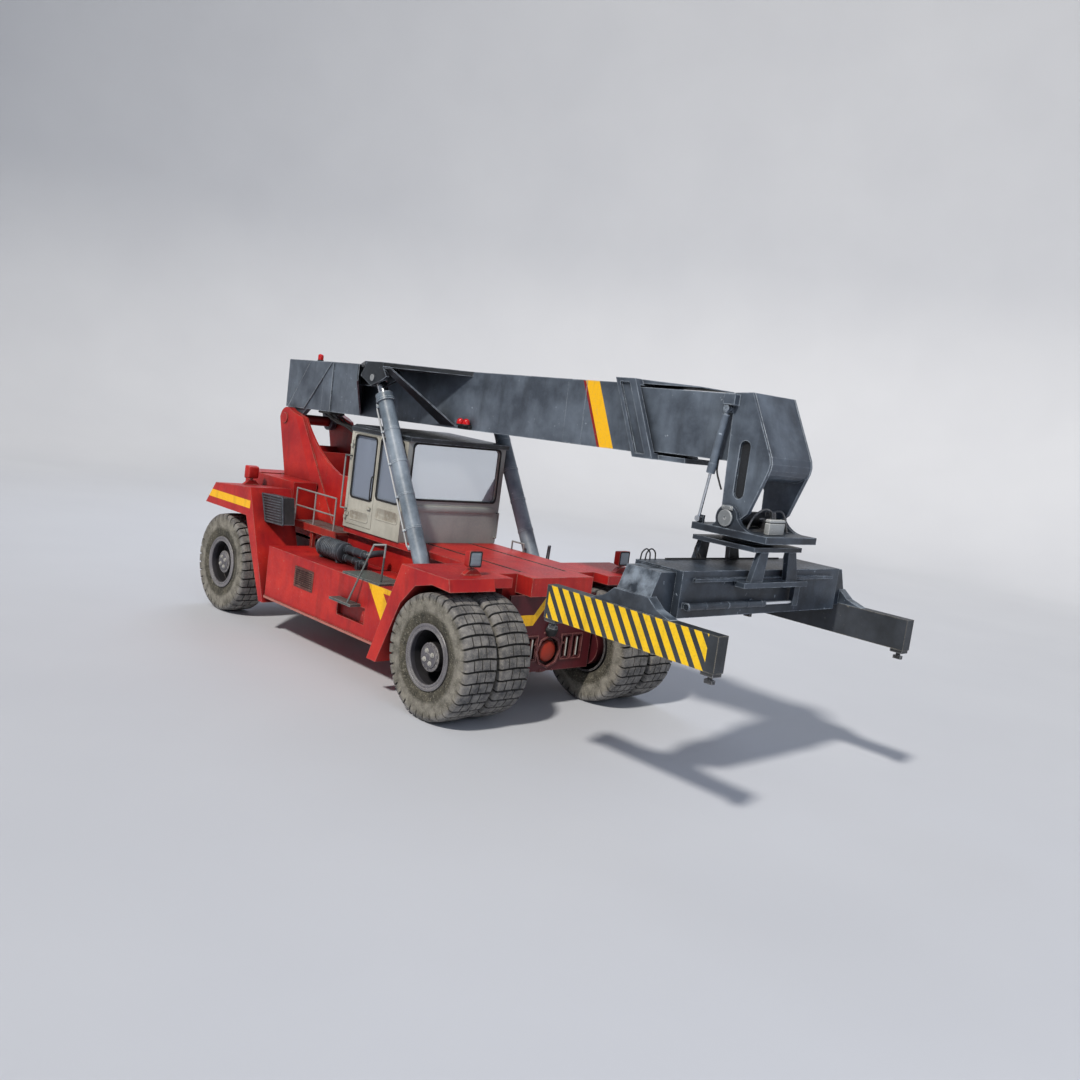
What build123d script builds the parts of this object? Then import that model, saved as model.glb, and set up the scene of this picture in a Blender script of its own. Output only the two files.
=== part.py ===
"""Reach stacker: a container handler with a telescopic boom over a central cab and a
rotating spreader at the boom's head.

Millimetres. +X is forwards, +Y is the machine's left, +Z is up. The origin is the centre
of the machine's footprint, on the floor. The boom, its head and what hangs from it are
drawn in the boom's own frame, with its origin at the boom pivot and u along the boom.
"""

from build123d import *
from math import atan2, cos, degrees, hypot, pi, radians, sin, tan
import os

# ---------------------------------------------------------------- driving dimensions
WHEELBASE = 6263
REAR_OVERHANG = 850  # rear axle to the back of the counterweight
SPREADER_REACH = 3193  # front axle to the spreader's centre
BEAM_LENGTH = 2438  # an end beam is as long as a container is wide

TYRE_OD = 1675  # 18.00-25
TYRE_W = 520
RIM_R = 395
DUAL_PITCH = 575
FRONT_TRACK_OUT = 2000  # centre line to the outer face of the front tyres
REAR_TRACK_OUT = 1694
KINGPIN_Y = 1060

BOOM_REST = 1.4  # degrees above level with the boom right down
HALF_BOOM = 410
BOOM_H = 840
BOOM_FLOOR = 200  # underside of the boom above the pivot line
BOOM_PLATE = 16
SLIDE_GAP = 30  # room at each side between the two boom sections
FLOOR_GAP = 20  # room above and below, for the wear pads
RAKE = 24  # degrees that the boom's front collar leans

# running clearances
PIN_FIT = 0.05  # radial, a pin in its own eye
SIDE_FIT = 6  # along a pin, between an eye and its cheeks
PAD_FIT = 0.3  # a wear pad and what slides on it

# ---------------------------------------------------------------- places along X
LENGTH = REAR_OVERHANG + WHEELBASE + SPREADER_REACH + BEAM_LENGTH / 2
REAR_X = -LENGTH / 2
REAR_AXLE_X = REAR_X + REAR_OVERHANG
FRONT_AXLE_X = REAR_AXLE_X + WHEELBASE
AXLE_Z = TYRE_OD / 2
SPREADER_X = FRONT_AXLE_X + SPREADER_REACH


def ahead(distance):
    """X of a place measured forwards from the front axle."""
    return FRONT_AXLE_X + distance


def from_rear(distance):
    """X of a place measured forwards from the rear axle."""
    return REAR_AXLE_X + distance


# boom pivot and lift cylinders
PIVOT_X, PIVOT_Z = from_rear(-297), 3380
LIFT_Y = 1090
LIFT_BASE_X, LIFT_BASE_Z = ahead(-1030), 1000
LIFT_EYE_X, LIFT_EYE_Z = ahead(-3000), 4270
LIFT_PIN_R = 55

# chassis
GIRDER_OUT, GIRDER_W = 820, 200  # front girders
REAR_GIRDER_OUT, REAR_GIRDER_W = 560, 180
GIRDER_Z = (640, 1400)
REAR_GIRDER_Z = (1110, 1650)
WEIGHT_FRONT = REAR_X + 560
STEP_X = from_rear(1623)  # where the frame narrows for the steered wheels
DECK_Z = 1910
DECK_T = 90
DECK_HALF = 925
FENDER_IN = FRONT_TRACK_OUT - 750  # the fenders cover both tyres of a pair
FENDER_T = 130
FRONT_X = ahead(300)
REAR_FENDER_OUT = REAR_TRACK_OUT + 56
WEIGHT_HALF = 1000
HOOD_H = 260
HOOD_HALF = 580
NOSE_FRONT = ahead(180)
NOSE_SLOTS = [side * y for side in (-1, 1) for y in (285, 375, 495, 585)]
BOX_OUT = 1720
BOX_Z = (580, 1420)
STEP_Z = (1040, 1075)  # the lower boarding step

# cab
CAB_X = (ahead(-3800), ahead(-2300))
CAB_HALF = 950
CAB_Z = (DECK_Z, 3530)
CAB_WALL = 60
ROOF_T = 110
DOOR_X = (CAB_X[0] + 70, ahead(-3040))
DOOR_GAP = 6

# boom head and spreader
HEAD_PIN_X, HEAD_PIN_Z = ahead(3200), 3218
HEAD_PIN_R = 85
DAMP_TOP = (ahead(2975), 4440)
DAMP_FOOT = (ahead(2800), 3146)
DAMP_PIN_R = 20
DAMP_ROD_R = 18
DAMP_BARREL_R = 46
LIFT_ROD_R = 75
SPREADER_Z = (2170, 2680)
SPREADER_HALF_X = 340
SPREADER_HALF_Y = 1530
BEAM_OUT = 1947
BEAM_T = 159
BEAM_Z = (1835, 2216)
BODY_WALL = 25


TOWER_Y = (HALF_BOOM + 30, HALF_BOOM + 150)
PIVOT_PIN_R = 90
SPINDLE_R = 120
KINGPIN_R = 50
HUB_R = 190
HUB_RECESS = 70  # the hub's face lies this far inside the tyre's outer side
AXLE_TUBE_R = 130
NOSE_R = 185
EYE_HALF = 80
EAR_T = 54
HEAD_OUT = HALF_BOOM + 10
DAMP_Y = HEAD_OUT + 56
EAR_OUT = HEAD_OUT + 70
ARM_HALF = SPREADER_HALF_X - 100
RAIL_Z = (2565, 2600)
SHIFT_CYL_Z = 2310
LOCK_R = 27.5
TOW_BORE_R = 30
HITCH_OUT = 150
HITCH_JAWS = ((1130, 1190), (1250, 1310))
DOOR_Z = (CAB_Z[0] + 60, 3400)
DOOR_T = 45
HINGE_X, HINGE_Y = DOOR_X[0], -CAB_HALF - 18
HINGE_Z = (2120, 3250)


# ---------------------------------------------------------------- shape helpers
def block(x, y, z):
    """A box from (low, high) pairs."""
    size = (x[1] - x[0], y[1] - y[0], z[1] - z[0])
    return Pos((x[0] + x[1]) / 2, (y[0] + y[1]) / 2, (z[0] + z[1]) / 2) * Box(*size)


def outline(points, place):
    return make_face(Polyline(*[place(*p) for p in points], close=True))


def side_plate(points, y0, y1):
    """A side profile of (x, z) points, from y0 to y1."""
    return extrude(outline(points, lambda x, z: (x, y0, z)), amount=y1 - y0, dir=(0, 1, 0))


def plan_plate(points, z0, z1):
    return extrude(outline(points, lambda x, y: (x, y, z0)), amount=z1 - z0, dir=(0, 0, 1))


def front_plate(points, x0, x1):
    return extrude(outline(points, lambda y, z: (x0, y, z)), amount=x1 - x0, dir=(1, 0, 0))


def rod(start, end, radius):
    start, end = Vector(*start), Vector(*end)
    plane = Plane(origin=start, z_dir=end - start)
    return extrude(plane * Circle(radius), amount=(end - start).length)


def tube(start, end, outer, inner):
    return rod(start, end, outer) - rod(start, end, inner)


def cross_rod(x, z, y0, y1, radius):
    return rod((x, y0, z), (x, y1, z), radius)


def other_side(shape):
    return mirror(shape, about=Plane.XZ)


def joined(*shapes):
    """One compound of every solid, fused where they meet."""
    whole = shapes[0]
    for shape in shapes[1:]:
        whole = whole + shape
    return whole


def both_sides(shape):
    return joined(shape, other_side(shape))


def turned_xz(point, centre, angle):
    """(x, z) turned about centre by angle, positive lifting what is ahead."""
    a = radians(angle)
    dx, dz = point[0] - centre[0], point[1] - centre[1]
    return (centre[0] + dx * cos(a) - dz * sin(a), centre[1] + dx * sin(a) + dz * cos(a))


BOOM = Location((PIVOT_X, 0, PIVOT_Z), (0, -BOOM_REST, 0))


def on_boom(shape):
    return BOOM * shape


def boom_uw(x, z):
    """(u, w) in the boom's frame of a place given in the machine's."""
    x, z = turned_xz((x, z), (PIVOT_X, PIVOT_Z), -BOOM_REST)
    return x - PIVOT_X, z - PIVOT_Z


os.makedirs("parts", exist_ok=True)


def save(name, shape):
    shape = shape if isinstance(shape, Compound) else Compound(children=[shape])
    export_step(shape, f"parts/{name}.step")


def save_pair(name, right_shape):
    """The machine's right side is -Y."""
    save(f"{name}_right", right_shape)
    save(f"{name}_left", other_side(right_shape))


# ---------------------------------------------------------------- chassis
def make_main_frame():
    front_girder = block((STEP_X, NOSE_FRONT - 40), (-GIRDER_OUT, -GIRDER_OUT + GIRDER_W), GIRDER_Z)
    rear_girder = block(
        (WEIGHT_FRONT, STEP_X + 160),
        (-REAR_GIRDER_OUT, -REAR_GIRDER_OUT + REAR_GIRDER_W),
        (REAR_GIRDER_Z[0], GIRDER_Z[1]),
    )
    girders = both_sides(joined(front_girder, rear_girder))
    cross = [block((x, x + 160), (-GIRDER_OUT, GIRDER_OUT), (700, 1340)) for x in
             (STEP_X, ahead(-2900), ahead(-1500))]
    nose = block((NOSE_FRONT - 40, NOSE_FRONT), (-GIRDER_OUT, GIRDER_OUT), (560, DECK_Z - HOOD_H))
    for y in NOSE_SLOTS:
        nose -= block((NOSE_FRONT - 60, NOSE_FRONT + 20), (y - 26, y + 26), (740, 1040))
    nose -= rod((NOSE_FRONT - 60, 0, AXLE_Z), (NOSE_FRONT + 20, 0, AXLE_Z), NOSE_R + 25)
    saddle = block((REAR_AXLE_X - 150, REAR_AXLE_X + 150),
                   (-REAR_GIRDER_OUT + REAR_GIRDER_W, REAR_GIRDER_OUT - REAR_GIRDER_W),
                   (REAR_GIRDER_Z[0], REAR_GIRDER_Z[0] + 180))
    frame = joined(girders, *cross, nose, saddle)
    return frame - cross_rod(FRONT_AXLE_X, AXLE_Z, -GIRDER_OUT, GIRDER_OUT, AXLE_TUBE_R)


def make_front_deck():
    """The deck before the cab, with the fenders over the front wheels."""
    deck = block((CAB_X[0], ahead(-20)), (-DECK_HALF, DECK_HALF), (DECK_Z - DECK_T, DECK_Z))
    hood = block((ahead(-20), FRONT_X), (-HOOD_HALF, HOOD_HALF), (DECK_Z - HOOD_H, DECK_Z))
    for y in (-430, 430):
        deck -= block((CAB_X[1] + 40, ahead(-120)), (y - 20, y + 20), (DECK_Z - 25, DECK_Z))
    walls = both_sides(
        block((CAB_X[0], ahead(-20)), (-GIRDER_OUT, -GIRDER_OUT + 40), (GIRDER_Z[1], DECK_Z - DECK_T))
    )
    bulkhead = block((ahead(-60), ahead(-20)), (-GIRDER_OUT, GIRDER_OUT), (GIRDER_Z[1], DECK_Z - DECK_T))
    return joined(deck, hood, walls, bulkhead)


def make_fender_right():
    outer = [(-1287, 490), (-725, DECK_Z), (276, DECK_Z), (329, 1751)]
    arch = [(-46, 1772), (-393, 1684), (-669, 1396), (-1073, 490)]
    profile = [(ahead(x), z) for x, z in outer + arch]
    skin = side_plate(profile, -FRONT_TRACK_OUT, -FENDER_IN)
    top = block((ahead(-725), ahead(276)), (-FENDER_IN, -DECK_HALF), (DECK_Z - FENDER_T, DECK_Z))
    return joined(skin, top)


def make_side_box_right():
    body = block((STEP_X, ahead(-1560)), (-BOX_OUT, -GIRDER_OUT), BOX_Z)
    nose = side_plate(
        [(ahead(-1560), BOX_Z[0]), (ahead(-1560), BOX_Z[1]), (ahead(-950), BOX_Z[1]), (ahead(-1290), BOX_Z[0])],
        -BOX_OUT, -1290,
    )
    sill = block((STEP_X, ahead(-1400)), (-BOX_OUT - 22, -BOX_OUT), (BOX_Z[0], BOX_Z[0] + 35))
    step_recess = block((ahead(-2540), ahead(-1840)), (-BOX_OUT, -BOX_OUT + 60), (800, STEP_Z[0]))
    return joined(body, nose, sill) - step_recess


def make_rear_fender_right():
    band = [(-624, 1788), (-322, 2165), (884, 2255), (1623, 490), (1493, 490), (826, 1782)]
    profile = [(from_rear(x), z) for x, z in band]
    return side_plate(profile, -REAR_FENDER_OUT, -WEIGHT_HALF)


def make_tower():
    """Two cheeks that carry the boom's pin, each a full plate with a narrower box outside it
    whose front is bevelled back to the plate, and the walls round the engine bay."""
    low = GIRDER_Z[1] + 50
    hood_z = 2600
    rear_foot, bay_front = from_rear(-157), ahead(-3950)
    ridge_top, ridge_foot = (from_rear(3), 3510), (from_rear(1363), low)

    def cheek(y, front_edges):
        start = ThreePointArc((from_rear(-487), y, PIVOT_Z), (PIVOT_X, y, PIVOT_Z + 190),
                              (from_rear(-137), y, 3530))
        foot = [(rear_foot, low), (rear_foot, 2430), (from_rear(-487), PIVOT_Z)]
        return make_face([start, *front_edges, Polyline(*[(x, y, z) for x, z in foot])])

    y = -TOWER_Y[0]
    plate_front = [
        Line((from_rear(-137), y, 3530), (from_rear(263), y, 3440)),
        ThreePointArc((from_rear(263), y, 3440), (from_rear(703), y, 3020), (from_rear(1513), y, 2610)),
        Polyline((from_rear(1513), y, 2610), (bay_front, y, hood_z), (bay_front, y, low), (rear_foot, y, low)),
    ]
    plate = extrude(cheek(y, plate_front), amount=40, dir=(0, -1, 0))
    y -= 40
    box_points = [(from_rear(-137), 3530), (from_rear(210), 3440), (from_rear(1700), low), (rear_foot, low)]
    box_front = [Polyline(*[(x, y, z) for x, z in box_points])]
    box = extrude(cheek(y, box_front), amount=TOWER_Y[1] - TOWER_Y[0] - 40, dir=(0, -1, 0))
    along_ridge = Vector(ridge_foot[0] - ridge_top[0], 0, ridge_foot[1] - ridge_top[1]).normalized()
    into_bevel = Vector(-along_ridge.Z, 0, along_ridge.X) * cos(radians(16)) + Vector(0, sin(radians(16)), 0)
    facet = Plane(origin=(ridge_top[0], -TOWER_Y[1], ridge_top[1]), x_dir=along_ridge,
                  z_dir=along_ridge.cross(into_bevel))
    box = split(box, bisect_by=facet, keep=Keep.TOP if facet.z_dir.Y > 0 else Keep.BOTTOM)
    cheeks = both_sides(joined(plate, box))
    inner = (-TOWER_Y[0], TOWER_Y[0])
    rear_wall = block((rear_foot, rear_foot + 40), inner, (low, 2950))
    mid_wall = block((from_rear(613), from_rear(653)), inner, (2000, 2900))
    front_wall = block((bay_front - 40, bay_front), inner, (low, hood_z - 40))
    hood = block((from_rear(1513), bay_front), inner, (hood_z - 40, hood_z))
    pin = cross_rod(PIVOT_X, PIVOT_Z, -TOWER_Y[1] - 25, TOWER_Y[1] + 25, PIVOT_PIN_R)
    return joined(cheeks, rear_wall, mid_wall, front_wall, hood, pin)


def make_counterweight():
    back = REAR_X + HITCH_OUT
    rear = block((back, from_rear(-187)), (-WEIGHT_HALF, WEIGHT_HALF), (1700, 2400))
    low = block((back, WEIGHT_FRONT), (-REAR_GIRDER_OUT, REAR_GIRDER_OUT), (REAR_GIRDER_Z[0], 1700))
    side = block((from_rear(-187), from_rear(963)), (-WEIGHT_HALF, -TOWER_Y[1]), (1700, 2380))
    jaws = [block((REAR_X, back), (-130, 130), z) for z in HITCH_JAWS]
    hole = rod((REAR_X + HITCH_OUT / 2, 0, HITCH_JAWS[0][0]), (REAR_X + HITCH_OUT / 2, 0, HITCH_JAWS[1][1]),
               TOW_BORE_R)
    return joined(rear, low, both_sides(side), *jaws) - hole


def make_front_axle():
    thick_in, thick_out = GIRDER_OUT + 60, FRONT_TRACK_OUT - 620
    tube_part = cross_rod(FRONT_AXLE_X, AXLE_Z, -thick_in, thick_in, AXLE_TUBE_R)
    ends = both_sides(cross_rod(FRONT_AXLE_X, AXLE_Z, -thick_out, -thick_in, 290))
    spindles = both_sides(cross_rod(FRONT_AXLE_X, AXLE_Z, -FRONT_TRACK_OUT + HUB_RECESS + 95, -thick_out,
                                   SPINDLE_R))
    nose = rod((ahead(-400), 0, AXLE_Z), (NOSE_FRONT - 100, 0, AXLE_Z), 330)
    nose += rod((NOSE_FRONT - 100, 0, AXLE_Z), (NOSE_FRONT - 60, 0, AXLE_Z), NOSE_R)
    cap = rod((NOSE_FRONT - 60, 0, AXLE_Z), (NOSE_FRONT - 30, 0, AXLE_Z), NOSE_R - 30)
    return joined(tube_part, ends, spindles, nose, cap)


def make_rear_axle():
    beam = block((REAR_AXLE_X - 150, REAR_AXLE_X + 150), (-KINGPIN_Y + 95, KINGPIN_Y - 95),
                 (AXLE_Z - 105, AXLE_Z + 105))
    eye = rod((REAR_AXLE_X, -KINGPIN_Y, AXLE_Z - 105), (REAR_AXLE_X, -KINGPIN_Y, AXLE_Z + 105), 100)
    bore = rod((REAR_AXLE_X, -KINGPIN_Y, AXLE_Z - 120), (REAR_AXLE_X, -KINGPIN_Y, AXLE_Z + 120),
               KINGPIN_R + PIN_FIT)
    pivot = block((REAR_AXLE_X - 150, REAR_AXLE_X + 150), (-200, 200), (AXLE_Z + 105, REAR_GIRDER_Z[0]))
    return joined(beam, both_sides(eye), pivot) - both_sides(bore)


def make_knuckle_right():
    lug = [block((REAR_AXLE_X - 90, REAR_AXLE_X + 90), (-KINGPIN_Y - 145, -KINGPIN_Y + 80), z)
           for z in ((AXLE_Z + 111, AXLE_Z + 190), (AXLE_Z - 190, AXLE_Z - 111))]
    web = block((REAR_AXLE_X - 90, REAR_AXLE_X + 90), (-KINGPIN_Y - 145, -KINGPIN_Y - 106),
                (AXLE_Z - 190, AXLE_Z + 190))
    pin = rod((REAR_AXLE_X, -KINGPIN_Y, AXLE_Z - 190), (REAR_AXLE_X, -KINGPIN_Y, AXLE_Z + 190), KINGPIN_R)
    spindle = cross_rod(REAR_AXLE_X, AXLE_Z, -REAR_TRACK_OUT + HUB_RECESS + 95, -KINGPIN_Y - 145,
                        SPINDLE_R - 20)
    return joined(*lug, web, pin, spindle)


def make_tyre(axle_x, y_centre):
    """An annulus with rounded shoulders."""
    half = TYRE_W / 2
    ring = cross_rod(axle_x, AXLE_Z, y_centre - half, y_centre + half, TYRE_OD / 2)
    ring = fillet(ring.edges().filter_by(GeomType.CIRCLE), 70)
    return ring - cross_rod(axle_x, AXLE_Z, y_centre - half - 5, y_centre + half + 5, RIM_R)


def make_rim(axle_x, y_out, y_in, disc_y, hub_y, bore_r):
    """Barrel, disc and hub, on the machine's right."""
    barrel = tube((axle_x, -y_out, AXLE_Z), (axle_x, -y_in, AXLE_Z), RIM_R, RIM_R - 25)
    disc = cross_rod(axle_x, AXLE_Z, -disc_y - 30, -disc_y, RIM_R - 20)
    hub = cross_rod(axle_x, AXLE_Z, -hub_y[1], -hub_y[0], HUB_R)
    bore = cross_rod(axle_x, AXLE_Z, -hub_y[1] + 60, -hub_y[0] + 10, bore_r + PIN_FIT)
    return joined(barrel, disc, hub) - bore


def tube_run(points, radius):
    """A bent tube as straight runs with a ball at each bend."""
    runs = [rod(a, b, radius) for a, b in zip(points, points[1:])]
    balls = [Pos(*p) * Sphere(radius) for p in points[1:-1]]
    return joined(*runs, *balls)


def make_engine_block():
    half = REAR_GIRDER_OUT - REAR_GIRDER_W
    return block((from_rear(313), STEP_X - 60), (-half, half), (REAR_GIRDER_Z[0] + 5, 1940))


def make_walkway_right():
    """Tread plate beside the engine bay, with its rails."""
    x = (from_rear(1138), CAB_X[0] - 40)
    tread = block(x, (-1050, -TOWER_Y[1]), (1740, 1780))
    edge = block(x, (-1075, -1050), (1680, 1795))
    drop = side_plate([(x[1] - 60, 1795), (x[1] + 15, 1795), (x[1] + 70, 1590), (x[1] + 320, 1545),
                       (x[1] + 320, 1490), (x[1] + 10, 1540)], -1075, -1050)
    pieces = [tread, edge, drop]
    for post_x in (STEP_X + 80, CAB_X[0] - 140):
        pieces.append(block((post_x, post_x + 60), (-1040, -980), (BOX_Z[1], 1740)))
    posts = [x[0] + 60, (x[0] + x[1]) / 2, x[1] - 40]
    for post_x in posts:
        pieces.append(rod((post_x, -1062, 1795), (post_x, -1062, 2320), 14))
    for z in (2040, 2320):
        pieces.append(rod((posts[0], -1062, z), (posts[-1], -1062, z), 14))
    return joined(*pieces)


def make_steps_right():
    low = block((ahead(-2510), ahead(-1955)), (-1900, -BOX_OUT), STEP_Z)
    high = block((ahead(-2500), ahead(-1570)), (-BOX_OUT, -1250), (BOX_Z[1], BOX_Z[1] + 30))
    rail = tube_run([(ahead(-2060), -1885, STEP_Z[1]), (ahead(-1820), -1700, 1960), (ahead(-1680), -1600, 1985),
                     (ahead(-1700), -1600, BOX_Z[1] + 30)], 14)
    return joined(low, high, rail)


def make_canister_right():
    z = BOX_Z[1] + 170
    body = rod((ahead(-3780), -1280, z), (ahead(-3120), -1280, z), 160)
    body += rod((ahead(-3120), -1280, z), (ahead(-2560), -1280, z), 135)
    for x in (-3700, -3250, -2700):
        body += block((ahead(x), ahead(x + 50)), (-1380, -1180), (BOX_Z[1], z - 60))
    return body


def make_intake_box_right():
    corners = [(922, 2165), (1100, 1740), (1663, 1760), (1573, 2190)]
    return side_plate([(from_rear(x), z) for x, z in corners], -1540, -1330)


def make_lamp(x, y, z):
    """A square housing on a stalk that stands on a three-cornered foot."""
    foot = front_plate([(y - 150, z), (y + 150, z), (y + 30, z + 60), (y - 30, z + 60)], x - 40, x + 40)
    stalk = block((x - 18, x + 18), (y - 22, y + 22), (z + 60, z + 110))
    return joined(foot, stalk, block((x - 70, x + 70), (y - 108, y + 108), (z + 105, z + 325)))


def make_work_lamps_right():
    front = make_lamp(ahead(20), -1430, DECK_Z)
    rear = make_lamp(from_rear(63), -1300, 2197)
    return joined(front, rear)


# ---------------------------------------------------------------- cab
WINDOW_LOW, WINDOW_HIGH = 2460, 3390


def opening(x, y, z, radius, normal):
    """A window hole with rounded corners through a wall."""
    hole = block(x, y, z)
    return fillet(hole.edges().filter_by(normal), radius)


def cab_windows():
    """Each fixed window: x, y and z ranges of its hole and the axis it faces."""
    side = (ahead(-2990), ahead(-2400))
    wall = CAB_HALF - CAB_WALL
    return {
        "windscreen": ((CAB_X[1] - CAB_WALL, CAB_X[1]), (-CAB_HALF + 100, CAB_HALF - 100), (2560, 3400), Axis.X),
        "rear": ((CAB_X[0], CAB_X[0] + CAB_WALL), (-700, 700), (2660, 3380), Axis.X),
        "right": (side, (-CAB_HALF, -wall), (WINDOW_LOW, WINDOW_HIGH), Axis.Y),
        "left": (side, (wall, CAB_HALF), (WINDOW_LOW, WINDOW_HIGH), Axis.Y),
        "left_rear": ((ahead(-3700), ahead(-3080)), (wall, CAB_HALF), (WINDOW_LOW, WINDOW_HIGH), Axis.Y),
    }


def make_cab_shell():
    wall = CAB_WALL
    outer = block(CAB_X, (-CAB_HALF, CAB_HALF), (CAB_Z[0], CAB_Z[1] - ROOF_T))
    room = block((CAB_X[0] + wall, CAB_X[1] - wall), (-CAB_HALF + wall, CAB_HALF - wall),
                 (CAB_Z[0] + wall, CAB_Z[1]))
    shell = outer - room
    for x, y, z, axis in cab_windows().values():
        shell -= opening(x, y, z, 70, axis)
    shell -= block(DOOR_X, (-CAB_HALF, -CAB_HALF + wall), DOOR_Z)
    for z in HINGE_Z:
        shell += block((DOOR_X[0] - 40, DOOR_X[0] - 8), (-CAB_HALF - 30, -CAB_HALF), (z - 75, z - 31))
        shell += rod((HINGE_X, HINGE_Y, z - 75), (HINGE_X, HINGE_Y, z - 31), 15)
        shell += rod((HINGE_X, HINGE_Y, z - 75), (HINGE_X, HINGE_Y, z + 28), 8)
    return shell


def make_cab_roof():
    """A shallow tray, lower at the front, with a bevel all round."""
    low = CAB_Z[1] - ROOF_T
    x = (CAB_X[0] - 10, CAB_X[1] + 60)
    half = CAB_HALF + 10
    slab = block(x, (-half, half), (low, CAB_Z[1]))
    slab = chamfer(slab.faces().sort_by(Axis.Z)[-1].edges(), 45)
    slope = side_plate([(x[0], CAB_Z[1] + 1), (x[1], CAB_Z[1] + 1), (x[1], CAB_Z[1] - 40)], -half, half)
    return slab - slope


def make_grab_rails():
    """Two bent tubes: one down the cab's rear corner to the box, one at the front corner."""
    x = CAB_X[0] - 40
    y = -CAB_HALF - 50
    wall_x = CAB_X[0] + 60
    rear = tube_run([(wall_x, -CAB_HALF, 3030), (wall_x, y, 3030), (x, y, 3030),
                     (x, y, 2200), (wall_x, y, 2200), (wall_x, -CAB_HALF, 2200)], 13)
    front_x = CAB_X[1] + 55
    front_y = CAB_HALF - 40
    front = tube_run([(CAB_X[1], front_y, 2400), (front_x, front_y, 2400), (front_x, front_y, 2010),
                      (CAB_X[1], front_y, 2010)], 13)
    loop = tube_run([(ahead(-1810), 890, DECK_Z), (ahead(-1810), 890, DECK_Z + 130),
                     (ahead(-1540), 890, DECK_Z + 130), (ahead(-1540), 890, DECK_Z)], 13)
    return joined(rear, front, loop)


def pane(x, y, z, axis):
    """Glass 8 mm thick at the middle of a wall's hole."""
    def thin(low, high):
        middle = (low + high) / 2
        return (middle - 4, middle + 4)
    if axis == Axis.X:
        return opening(thin(*x), y, z, 70, axis)
    return opening(x, thin(*y), z, 70, axis)


def make_cab_glass():
    return joined(*[pane(*w) for w in cab_windows().values()])


def door_window():
    return ((DOOR_X[0] + 55, DOOR_X[1] - 55), (-CAB_HALF, -CAB_HALF + DOOR_T), (2400, WINDOW_HIGH - 20), Axis.Y)


def make_door():
    leaf = block((DOOR_X[0] + DOOR_GAP, DOOR_X[1] - DOOR_GAP), (-CAB_HALF, -CAB_HALF + DOOR_T),
                 (DOOR_Z[0] + DOOR_GAP, DOOR_Z[1] - DOOR_GAP))
    x, y, z, axis = door_window()
    leaf -= opening(x, y, z, 70, axis)
    for height in HINGE_Z:
        barrel = rod((HINGE_X, HINGE_Y, height - 28), (HINGE_X, HINGE_Y, height + 28), 15)
        strap = block((HINGE_X, HINGE_X + 60), (-CAB_HALF - 14, -CAB_HALF), (height - 28, height + 28))
        leaf += joined(barrel, strap) - rod((HINGE_X, HINGE_Y, height - 30), (HINGE_X, HINGE_Y, height + 30),
                                            8 + PIN_FIT)
    leaf += block((DOOR_X[1] - 130, DOOR_X[1] - 40), (-CAB_HALF - 30, -CAB_HALF), (2270, 2300))
    return leaf


def make_driver_seat():
    x = ahead(-3350)
    floor = CAB_Z[0] + CAB_WALL
    base = block((x - 150, x + 150), (-150, 150), (floor, floor + 330))
    cushion = block((x - 250, x + 270), (-260, 260), (floor + 330, floor + 450))
    back = side_plate([(x - 250, floor + 450), (x - 130, floor + 450), (x - 230, floor + 1080), (x - 330, floor + 1080)],
                      -240, 240)
    return joined(base, cushion, back)


def make_console():
    x = ahead(-2600)
    floor = CAB_Z[0] + CAB_WALL
    desk = side_plate([(x, floor), (x + 180, floor), (x + 180, floor + 620), (x + 40, floor + 620)], -280, 280)
    column = rod((x + 60, 0, floor + 560), (x - 90, 0, floor + 800), 28)
    wheel_plane = Plane(origin=(x - 90, 0, floor + 800), z_dir=(-150, 0, 240))
    wheel = wheel_plane * Torus(190, 16)
    spoke = wheel_plane * Box(380, 36, 16)
    return joined(desk, column, wheel, spoke)


# ---------------------------------------------------------------- boom
def boom_block(u, y, w):
    return on_boom(block(u, y, w))


def boom_plate(u, w, thickness):
    """A plate on the boom's right side."""
    return block(u, (-HALF_BOOM - thickness, -HALF_BOOM), w)


ROOF_W = BOOM_FLOOR + BOOM_H
REAR_U = -280
FRONT_AXLE_U = (FRONT_AXLE_X - PIVOT_X) / cos(radians(BOOM_REST))
COLLAR_U = (FRONT_AXLE_U + 1228, FRONT_AXLE_U + 1558)  # at the boom's roof line, rear and front
PAST_COLLAR = COLLAR_U[1] + 1000
RAKE_SHIFT = BOOM_H * tan(radians(RAKE))


def raked(u0, u1, y0, y1, w0, w1):
    """A side plate whose ends lean, the low end further forward."""
    def lean(w):
        return (ROOF_W - w) * tan(radians(RAKE))
    points = [(u0 + lean(w0), w0), (u1 + lean(w0), w0), (u1 + lean(w1), w1), (u0 + lean(w1), w1)]
    return side_plate(points, y0, y1)


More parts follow.
